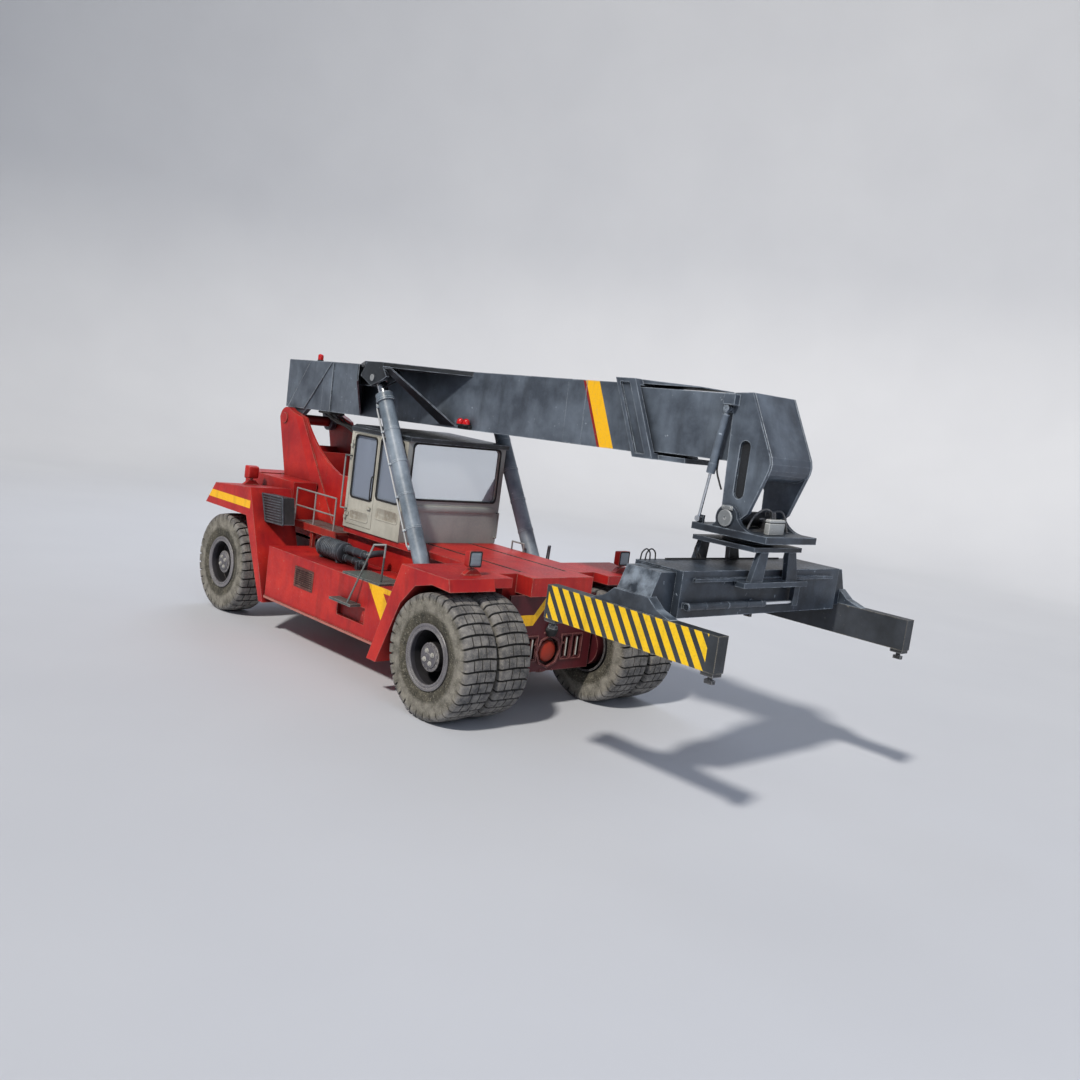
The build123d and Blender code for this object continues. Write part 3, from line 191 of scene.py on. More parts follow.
def enamel(name, colour, faded, bare="#8d9299", grime_and_shade="#1d1a19", rubbed=1.0, dirt_and_shade=1.0, roughness=0.5,
           stripes=None, edge=0.016):
    """Old enamel over steel plate. Patches about 0.6 m wide run from the fresh colour to the
    faded one, flakes about 20 mm wide and the plate's edges are rubbed bare, grime runs down
    in streaks, and painted shade darkens the corners. stripes(tree, place, colour) paints bands on it."""
    material, tree, shader, place = new_finish(name, Roughness=roughness)
    patches = add(tree, "TexNoise", place, 1.7, 5.0, 0.6)
    paint = add(tree, "Mix", add(tree, "MapRange", patches, 0.38, 0.66), colour, faded, data_type="RGBA")
    if stripes:
        paint = stripes(tree, place, paint)
    speckle = add(tree, "TexNoise", place, 34.0, 4.0, 0.6)
    faint = add(tree, "MapRange", speckle, 0.5, 0.75, 0, 0.22)
    tall = add(tree, "Mapping", place, Scale=(1, 1, 0.16))
    streaks = add(tree, "TexNoise", tall, 6.0, 4.0, 0.6)
    dirty = add(tree, "MapRange", streaks, 0.52, 0.78, 0, 0.4 * dirt_and_shade)
    # Painted shade: ambient occlusion darkens the corners towards the grime colour.
    corner_occlusion = add(tree, "AmbientOcclusion", samples=4, Distance=0.3).outputs["AO"]
    painted_corner_shade = add(tree, "MapRange", corner_occlusion, 0.25, 0.95, 0.75 * dirt_and_shade, 0)
    rounded_edge = add(tree, "Bevel", samples=4, Radius=edge)
    true_normal = add(tree, "NewGeometry").outputs["Normal"]
    turned = add(tree, "VectorMath", rounded_edge, true_normal, operation="DOT_PRODUCT")
    chips = add(tree, "TexNoise", place, 16.0, 6.0, 0.6)
    worn = add(tree, "MapRange", turned, 0.995, 0.93)
    for limit in (add(tree, "MapRange", chips, 0.3, 0.5),
                  add(tree, "MapRange", streaks, 0.38, 0.6, 0.25, 1)):
        worn = add(tree, "Math", worn, limit, operation="MULTIPLY")
    flakes = add(tree, "Math", add(tree, "MapRange", chips, 0.66, 0.69),
                 add(tree, "MapRange", patches, 0.5, 0.62), operation="MULTIPLY")
    worn = add(tree, "Math", worn, flakes, operation="MAXIMUM", use_clamp=True)
    worn = add(tree, "Math", worn, rubbed, operation="MULTIPLY")
    for factor, over in ((faint, faded), (dirty, grime_and_shade), (painted_corner_shade, grime_and_shade), (worn, bare)):
        paint = add(tree, "Mix", factor, paint, over, data_type="RGBA")
    gloss = add(tree, "MapRange", speckle, 0.3, 0.7, roughness - 0.09, roughness + 0.12)
    skin = add(tree, "Math", speckle, worn, operation="SUBTRACT")
    feed(tree, shader.inputs["Base Color"], paint)
    feed(tree, shader.inputs["Roughness"], gloss)
    feed(tree, shader.inputs["Normal"], add(tree, "Bump", Strength=0.25, Distance=0.0015, Height=skin))
    return material


def paint_nodes(material, *names):
    """Puts a finish on CAD nodes."""
    for name in names:
        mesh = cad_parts[name].data
        for index in range(len(mesh.materials)):
            mesh.materials[index] = material


RED = {"colour": "#a11016", "faded": "#c42a1e", "bare": "#a97a6e", "grime_and_shade": "#2a0d0d"}
DARK_RED = {"colour": "#4f0d18", "faded": "#63151d", "bare": "#93655f", "grime_and_shade": "#1c0a0c"}
red_enamel = enamel("faded_red_enamel", **RED)
dark_red_enamel = enamel("dark_red_enamel", **DARK_RED)
paint_nodes(red_enamel, "front_fenders", "boom_tower", "counterweight")
paint_nodes(dark_red_enamel, "front_axle", "rear_axle", "lift_brackets")


# ---------------------------------------------------------------- yellow markings
# Warning stripes in yellow enamel along the rear fenders, as a chevron on the side boxes and
# across the nose, where they rise over the axle.
YELLOW = "#f8bd0a"


def facing(tree, axis, least=0.6):
    """1 where the surface faces either way along an axis, by at least that cosine."""
    side = add(tree, "VectorMath", add(tree, "TexCoord").outputs["Normal"], operation="ABSOLUTE")
    return band(tree, side, axis, least, 1.3)


def inside(tree, place, *limits):
    """1 inside every band: each limit is a direction, a low and a high."""
    found = 1.0
    for across, low, high in limits:
        found = add(tree, "Math", band(tree, place, across, low, high), found, operation="MULTIPLY")
    return found


def fender_stripe(tree, place, paint):
    """One stripe along the side of each rear fender."""
    stripe = inside(tree, place, (Z_AXIS, 1.907, 2.035), (X_AXIS, -6.0, -3.985))
    stripe = add(tree, "Math", stripe, facing(tree, Y_AXIS), operation="MULTIPLY")
    return add(tree, "Mix", stripe, paint, YELLOW, data_type="RGBA")


def box_chevron(tree, place, paint):
    """A level stripe and a slanted one that meet at the box's front, and a pale pink painted highlight
    along the sill.
    """
    side = facing(tree, Y_AXIS)
    # Painted highlight: a pale band on the side face of the sill.
    sill_highlight = inside(tree, place, (Z_AXIS, 0.5, 0.618))
    level = inside(tree, place, (Z_AXIS, 1.345, 1.45), (X_AXIS, -0.43, 1.0))
    slanted = inside(tree, place, ((0.763, 0, 0.646), 0.552, 0.797), (Z_AXIS, 0.9, 1.43))
    chevron = add(tree, "Math", level, slanted, operation="MAXIMUM")
    for mark, strength, colour in ((sill_highlight, 0.8, "#a8766c"), (chevron, 1.0, YELLOW)):
        mark = add(tree, "Math", mark, side, operation="MULTIPLY")
        mark = add(tree, "Math", mark, strength, operation="MULTIPLY")
        paint = add(tree, "Mix", mark, paint, colour, data_type="RGBA")
    return paint


def nose_stripe(tree, place, paint):
    """A stripe across the nose plate, which climbs by up to 0.3 m towards its middle: the
    height less the climb is what lies in the band."""
    split = add(tree, "SeparateXYZ", place)
    across = add(tree, "Math", split.outputs["Y"], operation="ABSOLUTE")
    climb = add(tree, "MapRange", across, 0.36, 0.12, 0, 0.3)
    level = add(tree, "Math", split.outputs["Z"], climb, operation="SUBTRACT")
    stripe = add(tree, "Math", level, 1.295, 0.075, operation="COMPARE")
    for limit in (inside(tree, place, (X_AXIS, 1.5, 1.6)), facing(tree, X_AXIS)):
        stripe = add(tree, "Math", stripe, limit, operation="MULTIPLY")
    return add(tree, "Mix", stripe, paint, YELLOW, data_type="RGBA")


def painted_seam_shade(tree, place, paint):
    """Painted shade: near black in the two long seams before the cab."""
    distance = add(tree, "VectorMath", place, operation="ABSOLUTE")
    seam = inside(tree, distance, (Y_AXIS, 0.392, 0.468), (X_AXIS, 0.0, 1.24))
    seam = add(tree, "Math", seam, inside(tree, place, (Z_AXIS, 1.87, 1.9115)), operation="MULTIPLY")
    return add(tree, "Mix", seam, paint, "#1a0505", data_type="RGBA")


for node, stripes, shade in (("rear_fenders", fender_stripe, RED), ("side_boxes", box_chevron, RED),
                             ("main_frame", nose_stripe, DARK_RED), ("front_deck", painted_seam_shade, RED)):
    paint_nodes(enamel(f"marked_enamel_{node}", stripes=stripes, **shade), node)


# ---------------------------------------------------------------- boom steelwork
# The boom, its head, the levelling frame and the spreader are box sections in blue-grey
# enamel, streaked and worn bright along every corner by years of slings and twistlocks.
BOOM_REST = radians(1.4)
BAND_LEAN = radians(24)
BOOM_GREY = {"colour": "#3e4651", "faded": "#66717e", "bare": "#a5b0bb", "grime_and_shade": "#1b1e22"}
boom_grey = enamel("blue_grey_enamel", roughness=0.42, edge=0.02, **BOOM_GREY)


def boom_bands(tree, place, paint):
    """A raked yellow band with a red rear edge on the boom's two sides, in the boom's own line:
    across is the level direction along the boom, leaned back by the rake."""
    lean = BAND_LEAN + BOOM_REST
    across = (cos(lean) / cos(BAND_LEAN), 0, sin(lean) / cos(BAND_LEAN))
    side = facing(tree, Y_AXIS, 0.7)
    for low, high, colour in ((4.10, 4.34, YELLOW), (4.055, 4.10, "#8a1510")):
        stripe = add(tree, "Math", band(tree, place, across, low, high), side, operation="MULTIPLY")
        paint = add(tree, "Mix", stripe, paint, colour, data_type="RGBA")
    return paint


boom_banded = enamel("banded_blue_grey_enamel", roughness=0.42, stripes=boom_bands, edge=0.02,
                     **BOOM_GREY)
paint_nodes(boom_banded, "outer_boom")
# A darker enamel: on the boom's wings it is painted shade, for the shade under their top plates and
# struts; on the cab roof tray it is the roof's own dark grey.
wing_shade_and_roof_grey = enamel("dark_enamel_roof_and_painted_wing_shade", "#181b1f", "#2b3036", bare="#8f99a5", grime_and_shade="#0e0f11",
                   roughness=0.42, edge=0.02)
paint_nodes(wing_shade_and_roof_grey, "boom_wings", "cab_roof")
paint_nodes(boom_grey, "inner_boom", "boom_head")


def painted_top_highlights(tree, place, paint):
    """A painted highlight: pale blue-grey in patches wherever the surface looks up or out along the
    machine.
    """
    normal = add(tree, "TexCoord").outputs["Normal"]
    rises = [add(tree, "VectorMath", normal, (0, out, 0.83), operation="DOT_PRODUCT")
             for out in (-0.55, 0.55)]
    rise = add(tree, "MapRange", add(tree, "Math", *rises, operation="MAXIMUM"), 0.5, 0.95)
    patches = add(tree, "MapRange", add(tree, "TexNoise", place, 5.0, 6.0, 0.6), 0.36, 0.62)
    scuffed = add(tree, "Math", add(tree, "Math", rise, patches, operation="MULTIPLY"), 0.7,
                  operation="MULTIPLY")
    return add(tree, "Mix", scuffed, paint, "#a9b7c6", data_type="RGBA")


SPREADER_GREY = {"colour": "#1d222a", "faded": "#3f4955", "bare": "#97a3b0", "grime_and_shade": "#121418"}
spreader_grey = enamel("dark_blue_grey_enamel", roughness=0.42, edge=0.016, **SPREADER_GREY)
# The spreader's arms carry painted highlights on their upward faces.
arm_grey_with_painted_highlights = enamel("blue_grey_enamel_painted_top_highlights", roughness=0.38, edge=0.016, stripes=painted_top_highlights,
                  **SPREADER_GREY)
paint_nodes(spreader_grey, "spreader_body", "rotator_frame", "tilt_frame")
paint_nodes(arm_grey_with_painted_highlights, "spreader_arm_right", "spreader_arm_left")


# ---------------------------------------------------------------- end beams
# The two hollow beams that hold the twistlocks, striped in black and yellow enamel on their
# outer faces so that the driver sees where the spreader ends.
STRIPE_PITCH = 0.172
STRIPE_LEAN = 0.68


def hazard_stripes(tree, place, paint):
    """Slanted yellow stripes on the outer face: the place along the beam, leaned by the height."""
    split = add(tree, "SeparateXYZ", place)
    leaned = add(tree, "Math", split.outputs["Z"], STRIPE_LEAN, split.outputs["X"],
                 operation="MULTIPLY_ADD")
    turns = add(tree, "Math", leaned, STRIPE_PITCH, operation="DIVIDE")
    yellow = add(tree, "MapRange", add(tree, "Math", turns, operation="FRACT"), 0.42, 0.45)
    beam_low, beam_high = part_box("end_beam_right")
    length = band(tree, place, X_AXIS, beam_low[0] + 0.035, beam_high[0] - 0.12)
    distance = add(tree, "VectorMath", place, operation="ABSOLUTE")
    for limit in (length, band(tree, distance, Y_AXIS, 1.93, 2.0), facing(tree, Y_AXIS, 0.7)):
        yellow = add(tree, "Math", yellow, limit, operation="MULTIPLY")
    return add(tree, "Mix", yellow, paint, "#f2c60e", data_type="RGBA")


striped_enamel = enamel("striped_enamel", "#262a2f", "#3a3f46", bare="#8f8a7c", grime_and_shade="#15130f", dirt_and_shade=0.7,
                        rubbed=0.8, stripes=hazard_stripes)
paint_nodes(striped_enamel, "end_beam_right", "end_beam_left")


# ---------------------------------------------------------------- cylinders
# Honed steel tubes sprayed pale blue-grey, with oil-stained runs, and hard chromed rods that
# are ground smooth and stay bright.
barrel_enamel = enamel("pale_blue_grey_enamel", "#56636f", "#909daa", bare="#bcc6d0", grime_and_shade="#353c43",
                       rubbed=1.3, roughness=0.42)
chrome, tree, shader, place = new_finish("hard_chrome", Metallic=1.0, Roughness=0.14)
haze = add(tree, "TexNoise", place, 40.0, 3.0, 0.6)
tone = add(tree, "Mix", add(tree, "MapRange", haze, 0.4, 0.7), "#d9dde2", "#b9bec5", data_type="RGBA")
feed(tree, shader.inputs["Base Color"], tone)
feed(tree, shader.inputs["Roughness"], add(tree, "MapRange", haze, 0.35, 0.7, 0.1, 0.24))
paint_nodes(barrel_enamel, "lift_barrel_right", "lift_barrel_left")
paint_nodes(boom_grey, "damper_barrels")
paint_nodes(chrome, "lift_rod_right", "lift_rod_left", "damper_rods")


# ---------------------------------------------------------------- bare and oily steel
# Forged pins, twistlocks, kingpin carriers and the engine: dark steel with an oily film that
# has caught dust.
oily_steel = enamel("oily_forged_steel", "#2b2c2e", "#424346", bare="#8c8f94", grime_and_shade="#100e0c",
                    roughness=0.4)
paint_nodes(oily_steel, "head_pin", "engine_block", "intake_boxes", "twistlocks_right", "twistlocks_left",
            "rear_knuckle_right", "rear_knuckle_left")
rim_enamel = enamel("grey_rim_enamel", "#2e2e32", "#424146", bare="#8d8a88", grime_and_shade="#151313",
                    roughness=0.5)
paint_nodes(rim_enamel, "front_rim_right", "front_rim_left", "rear_rim_right", "rear_rim_left")


# ---------------------------------------------------------------- cab steelwork and glass
# A welded cab in cream enamel with a dark roof tray. Its toughened panes are 8 mm thick, and
# the front and rear ones carry a solar coating that mirrors the sky.
def painted_front_shade(tree, place, paint):
    """Painted shade: a darker blue-grey tint on the wall that faces forwards."""
    film = add(tree, "Math", facing(tree, X_AXIS), 0.6, operation="MULTIPLY")
    return add(tree, "Mix", film, paint, "#7d8f95", data_type="RGBA")


# The cream enamel's forward-facing wall carries painted shade.
cream_enamel = enamel("cream_enamel", "#a3a298", "#bebdb3", bare="#8a8478", grime_and_shade="#6a6861",
                      roughness=0.55,
                      dirt_and_shade=0.5, stripes=painted_front_shade)
paint_nodes(cream_enamel, "cab_shell", "cab_door")
glass, tree, shader, place = new_finish("coated_glass_painted_reflection", Roughness=0.04, IOR=1.5)
front_pane = facing(tree, X_AXIS)
# The panes' pale blue-grey, near white on the front and rear, is a painted sky reflection; the metallic
# coating on those two mirrors the scene.
pane_colour_and_painted_reflection = add(tree, "Mix", front_pane, "#98a4b8", "#f2f9ff", data_type="RGBA")
feed(tree, shader.inputs["Base Color"], pane_colour_and_painted_reflection)
feed(tree, shader.inputs["Alpha"], add(tree, "MapRange", front_pane, 0, 1, 0.5, 0.92))
feed(tree, shader.inputs["Metallic"], add(tree, "MapRange", front_pane, 0, 1, 0.0, 0.8))
paint_nodes(glass, "cab_glass", "door_glass")
black_plastic = enamel("moulded_black_plastic", "#17181a", "#26272a", bare="#33343a", grime_and_shade="#0d0d0d",
                       roughness=0.6)
paint_nodes(black_plastic, "driver_seat", "console")
red_lens = new_finish("red_acrylic_lens", Base_Color="#c0161a", Roughness=0.12, IOR=1.49)[0]


# ---------------------------------------------------------------- tyres
# Bias-ply lug tyres, 18.00-25: black rubber gone grey-brown with yard dust, with rectangular
# lugs cut by cross grooves, thin splits that step from row to row, and rings on the sidewalls.
LUGS = 34
GROOVE_DEPTH, SPLIT_DEPTH = 0.026, 0.014
GROOVE_EDGE, GROOVE_FLOOR = 0.105, 0.065  # half widths, as parts of the lug pitch
SPLIT_EDGE, SPLIT_FLOOR = 0.0105, 0.006


def merged(shells):
    """Several shells, each points and faces, as one."""
    points = np.concatenate([shell[0] for shell in shells])
    starts = np.cumsum([0] + [len(shell[0]) for shell in shells[:-1]])
    faces = [[index + start for index in face] for shell, start in zip(shells, starts)
             for face in shell[1]]
    return points, faces


def build(name, shells, finish, body, stands_for=(), sharp=35, attributes=None):
    """One object from shells, smooth but for edges sharper than that many degrees,
    which rides on a body and may stand for CAD nodes."""
    points, faces = merged(shells)
    mesh = bpy.data.meshes.new(name)
    mesh.from_pydata(points.tolist(), [], faces)
    for key, values in (attributes or {}).items():
        attribute = mesh.attributes.new(key, "FLOAT", "POINT")
        attribute.data.foreach_set("value", np.ravel(values).astype(np.float32))
    mesh.materials.append(finish)
    outward = bmesh.new()
    outward.from_mesh(mesh)
    bmesh.ops.recalc_face_normals(outward, faces=outward.faces)
    outward.to_mesh(mesh)
    outward.free()
    mesh.polygons.foreach_set("use_smooth", [True] * len(mesh.polygons))
    mesh.set_sharp_from_angle(angle=radians(sharp))
    piece = bpy.data.objects.new(name, mesh)
    bpy.context.collection.objects.link(piece)
    if body:
        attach(piece, body)
    if stands_for:
        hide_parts(*stands_for)
    return piece


def grid(points, round_rows=False, round_columns=False, capped=False):
    """A shell of quads over an array of rows, columns and xyz. A round direction joins its last
    line to its first, and caps close the first and the last row with one face each."""
    rows, columns = points.shape[:2]
    i = np.arange(rows if round_rows else rows - 1)[:, None]
    j = np.arange(columns if round_columns else columns - 1)[None, :]
    i2, j2 = (i + 1) % rows, (j + 1) % columns
    quads = np.stack([i * columns + j, i * columns + j2, i2 * columns + j2, i2 * columns + j], axis=-1)
    faces = quads.reshape(-1, 4).tolist()
    if capped:
        last = (rows - 1) * columns
        faces += [list(range(columns - 1, -1, -1)), list(range(last, last + columns))]
    return points.reshape(-1, 3), faces


def step(values, centre, floor, edge):
    """1 within floor of the centre, 0 beyond edge, straight between."""
    return np.clip((edge - np.abs(values - centre)) / (edge - floor), 0, 1)


# Places across the tyre are drawn for this half width and scaled to each tyre.
DRAWN_HALF = 0.26


def tyre(axle, middle_y, radius, width, seed):
    """A tyre as a closed ring: a section of (y, r) turned about the axle. Tread height is cut
    by grooves where the angle, shifted by a bow across the tread, is near a lug's edge, and
    by splits at set places across it, which step from one row of lugs to the next."""
    half = width / 2
    splits = {0: (-0.135, -0.01, 0.125), 1: (-0.07, 0.06)}
    across = [-0.222, -0.19, -0.165, 0.19, 0.165, 0.222]
    for y in splits[0] + splits[1]:
        across += [y - SPLIT_EDGE, y - SPLIT_FLOOR, y + SPLIT_FLOOR, y + SPLIT_EDGE]
    across = np.sort(np.array(across)) * half / DRAWN_HALF
    crown = radius - 0.013 * (across / (0.85 * half)) ** 2
    shoulder = np.array([(0.236, -0.022), (0.248, -0.036), (0.255, -0.056), (0.2565, -0.08),
                         (0.2545, -0.102)])
    wall_r = np.linspace(radius - 0.125, 0.43, 14)
    belly = DRAWN_HALF - 0.036 * ((wall_r - 0.62) / 0.19) ** 2
    rings = 0.004 * (np.cos((wall_r - 0.5) * 2 * pi / 0.07) > 0.55)
    wall = np.stack([np.minimum(belly + rings, DRAWN_HALF) * half / DRAWN_HALF, wall_r], axis=-1)
    bead = np.array([(0.2 * half / DRAWN_HALF, 0.405), (0.17 * half / DRAWN_HALF, 0.397)])
    tread_edge = np.stack([shoulder[:, 0] * half / DRAWN_HALF, radius + shoulder[:, 1]], axis=-1)
    side = np.concatenate([tread_edge, wall, bead])
    mirrored = side[::-1] * (-1, 1)
    section = np.concatenate([mirrored, np.stack([across, crown], axis=-1), side])
    y, r = section[:, 0], section[:, 1]
    tangent = np.gradient(section, axis=0)
    normal = np.stack([-tangent[:, 1], tangent[:, 0]], axis=-1)
    normal = normal / np.linalg.norm(normal, axis=1, keepdims=True)
    phase = np.array([0, GROOVE_FLOOR, GROOVE_EDGE, 0.3, 0.5, 0.7, 1 - GROOVE_EDGE, 1 - GROOVE_FLOOR])
    turn = (np.arange(LUGS)[:, None] + phase[None, :]).ravel()[:, None]
    nearness = np.abs(turn - np.round(turn))
    groove = step(nearness, 0, GROOVE_FLOOR, GROOVE_EDGE)
    reach = np.clip((r - (radius - 0.135)) / 0.06, 0, 1)[None, :]
    row = (np.floor(turn) % 2).astype(int)
    on_tread = (np.abs(y) < 0.225 * half / DRAWN_HALF)[None, :]
    split = np.zeros((len(turn), len(y)))
    for parity, places in splits.items():
        for place_y in places:
            cut = step(y, place_y * half / DRAWN_HALF, SPLIT_FLOOR, SPLIT_EDGE)[None, :] * (row == parity)
            split = np.maximum(split, cut * on_tread)
    draw = np.random.default_rng(seed)
    worn = draw.uniform(0, 0.0025, (LUGS, 7))
    block = np.clip(((y + half) / width * 7).astype(int), 0, 6)
    uneven = worn[np.floor(turn).astype(int)[:, 0]][:, block] * on_tread
    depth = np.maximum(groove * reach * GROOVE_DEPTH, split * SPLIT_DEPTH) + uneven
    section_y = y[None, :] - normal[None, :, 0] * depth
    section_r = r[None, :] - normal[None, :, 1] * depth
    bow = 0.14 * (1 - (y / half) ** 2)
    angle = (turn + bow[None, :]) * 2 * pi / LUGS
    points = np.stack([axle[0] + section_r * np.cos(angle), middle_y + section_y,
                       axle[1] + section_r * np.sin(angle)],
                      axis=-1)
    points[..., 2] = np.maximum(points[..., 2], 0)
    tread = np.clip((r - (radius - 0.1)) / 0.05, 0, 1)[None, :] * np.ones_like(depth)
    # A mask for the painted shade in the grooves and splits.
    groove_shade_mask = np.maximum(groove * reach, split)
    wall = np.clip((r - 0.43) / (radius - 0.53), 0, 1)[None, :] * np.ones_like(depth)
    return grid(points, round_rows=True, round_columns=True), groove_shade_mask, tread, wall


tyre_rubber, tree, shader, place = new_finish("dusty_tyre_rubber", Roughness=0.88)
groove_shade_mask, tread, wall = (add(tree, "Attribute", attribute_name=name).outputs["Fac"]
                     for name in ("groove", "tread", "wall"))
dust = add(tree, "MapRange", add(tree, "TexNoise", place, 7.0, 6.0, 0.6), 0.36, 0.64)
scuffs = add(tree, "TexNoise", place, 45.0, 4.0, 0.6)
inner_tone, outer_tone, tread_tone = (
    add(tree, "Mix", dust, clean, dusty, data_type="RGBA")
    for clean, dusty in (("#2f2e28", "#4f4c42"), ("#57554e", "#86837b"), ("#4d4d4f", "#807e7c")))
wall = add(tree, "MapRange", wall, 0.42, 0.58)
rubber = add(tree, "Mix", wall, inner_tone, outer_tone, data_type="RGBA")
scuffed = add(tree, "MapRange", scuffs, 0.52, 0.72, 0, 0.45)
# Painted shade: the grooves and splits are darkened to near black.
painted_groove_shade = add(tree, "Math", groove_shade_mask, 0.88, operation="MULTIPLY")
for factor, over in ((tread, tread_tone), (scuffed, "#aaa596"), (painted_groove_shade, "#161513")):
    rubber = add(tree, "Mix", factor, rubber, over, data_type="RGBA")
feed(tree, shader.inputs["Base Color"], rubber)
feed(tree, shader.inputs["Normal"], add(tree, "Bump", Strength=0.6, Distance=0.004, Height=scuffs))

for count, (node, tyres) in enumerate((("front_tyres_right", 2), ("front_tyres_left", 2),
                                       ("rear_tyre_right", 1), ("rear_tyre_left", 1))):
    low, high = (np.array(corner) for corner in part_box(node))
    axle = ((low[0] + high[0]) / 2, (low[2] + high[2]) / 2)
    radius = (high[2] - low[2]) / 2
    tyre_width = 0.52
    middles = [low[1] + tyre_width / 2, high[1] - tyre_width / 2][:tyres]
    made = [tyre(axle, middle, radius, tyre_width, 10 * count + index)
            for index, middle in enumerate(middles)]
    body = node.replace("tyres", "wheel").replace("tyre", "wheel")
    build(node.replace("tyre", "treaded_tyre"), [item[0] for item in made], tyre_rubber, body,
          (node,),
          sharp=40, attributes={"groove": np.concatenate([item[1].ravel() for item in made]),
                                "tread": np.concatenate([item[2].ravel() for item in made]),
                                "wall": np.concatenate([item[3].ravel() for item in made])})


# ---------------------------------------------------------------- wheels
# Pressed steel rims in grey enamel with a loose lock ring, and on each a planetary hub whose
# cover is held by four big bolts inside a ring of small ones.
FRONT_AXLE = (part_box("front_tyres_right")[0][0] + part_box("front_tyres_right")[1][0]) / 2
REAR_AXLE = (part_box("rear_tyre_right")[0][0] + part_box("rear_tyre_right")[1][0]) / 2
AXLE_Z = 0.8375
HUB_RECESS = 0.07


def square_to(axis):
    """Two directions square to an axis and to each other."""
    axis = np.array(axis, float) / np.linalg.norm(axis)
    helper = Z_AXIS if abs(axis[2]) < 0.9 else X_AXIS
    first = np.cross(helper, axis)
    first = first / np.linalg.norm(first)
    return axis, first, np.cross(axis, first)


def lathe(profile, centre, axis, steps, ring=False):
    """A profile of (distance along the axis, radius) turned about an axis through the centre.
    A ring's profile is a closed loop, and any other shell is capped at both ends."""
    axis, first, second = square_to(axis)
    profile = np.array(profile, float)
    angle = np.arange(steps) * 2 * pi / steps
    around = np.cos(angle)[:, None] * first + np.sin(angle)[:, None] * second
    points = np.array(centre) + profile[:, None, :1] * axis + profile[:, None, 1:] * around[None]
    return grid(points, round_rows=ring, round_columns=True, capped=not ring)


def bolts(centres, axis, radius, height=None):
    """A hexagon head on a washer at each centre."""
    height = height or radius * 0.8
    washer = [(-0.002, radius * 1.35), (height * 0.25, radius * 1.35), (height * 0.3, radius * 1.25)]
    head = [(0, radius), (height, radius), (height * 1.15, radius * 0.8)]
    made = []
    for centre in centres:
        made += [lathe(washer, centre, axis, 14), lathe(head, centre, axis, 6)]
    return made


def around(centre, axis, radius, count, start=0.0):
    """Places on a circle."""
    axis, first, second = square_to(axis)
    angle = start + np.arange(count) * 2 * pi / count
    return np.array(centre) + radius * (np.cos(angle)[:, None] * first + np.sin(angle)[:, None] * second)


flange_enamel = enamel("pale_rim_enamel", "#515056", "#6f6d74", bare="#a09e9c", grime_and_shade="#1b1919",
                       roughness=0.45)
bright_steel = enamel("zinc_plated_steel", "#a5a49e", "#8b8a86", bare="#c9c8c2", grime_and_shade="#3a3834",
                      roughness=0.38)
WHEELS = (("front_wheel_right", FRONT_AXLE, -2.0), ("front_wheel_left", FRONT_AXLE, 2.0),
          ("rear_wheel_right", REAR_AXLE, -1.694), ("rear_wheel_left", REAR_AXLE, 1.694))
for body, x, y in WHEELS:
    out = np.array((0, np.sign(y), 0))
    side = np.array((x, y, AXLE_Z))
    ring = lathe([(-0.11, 0.372), (-0.02, 0.350), (-0.007, 0.356), (-0.004, 0.372), (-0.013, 0.384),
                  (-0.013, 0.398),
                  (-0.004, 0.408), (-0.003, 0.428), (-0.012, 0.437), (-0.03, 0.437), (-0.05, 0.425),
                  (-0.11, 0.40)],
                 side, out, 72, ring=True)
    face = -HUB_RECESS
    cover = lathe([(face - 0.02, 0.186), (face + 0.002, 0.186), (face + 0.006, 0.181),
                   (face + 0.006, 0.150),
                   (face + 0.020, 0.143), (face + 0.024, 0.135), (face + 0.024, 0.052),
                   (face + 0.032, 0.047),
                   (face + 0.034, 0.03)], side, out, 56)
    small = bolts(around(side + out * (face + 0.006), out, 0.167, 14), out, 0.009)
    build(body + "_ring_and_cover", [ring, cover] + small, flange_enamel, body)
    big = bolts(around(side + out * (face + 0.024), out, 0.088, 4, 0.5), out, 0.026)
    valve = lathe([(-0.16, 0.006), (-0.085, 0.006), (-0.083, 0.009), (-0.06, 0.009)],
                  side + np.array((0.33, 0, 0.0)), out, 10)
    build(body + "_bolts", big + [valve], bright_steel, body)


# ---------------------------------------------------------------- tread plate
# Steel plate rolled with raised almond-shaped lugs, laid in alternate directions 34 mm apart,
# bolted down as steps and walkways. Boots have polished the lugs.
LUG_SPACING = 0.034


def tread_lugs(tree, place):
    """1 on a lug: in each square of a chequer, an ellipse whose long way is across or along."""
    cell = add(tree, "VectorMath", place, operation="SCALE", Scale=1 / LUG_SPACING)
    chequer = add(tree, "TexChecker", cell, Scale=1.0).outputs["Fac"]
    spot = add(tree, "VectorMath", cell, operation="FRACTION")
    spot = add(tree, "VectorMath", spot, (0.5, 0.5, 0), operation="SUBTRACT")
    sizes = []
    for stretch in ((2.2, 7.0, 0), (7.0, 2.2, 0)):
        stretched = add(tree, "VectorMath", spot, stretch, operation="MULTIPLY")
        sizes.append(add(tree, "VectorMath", stretched, operation="LENGTH"))
    return add(tree, "MapRange", add(tree, "Mix", chequer, *sizes, data_type="FLOAT"), 1.05, 0.75)


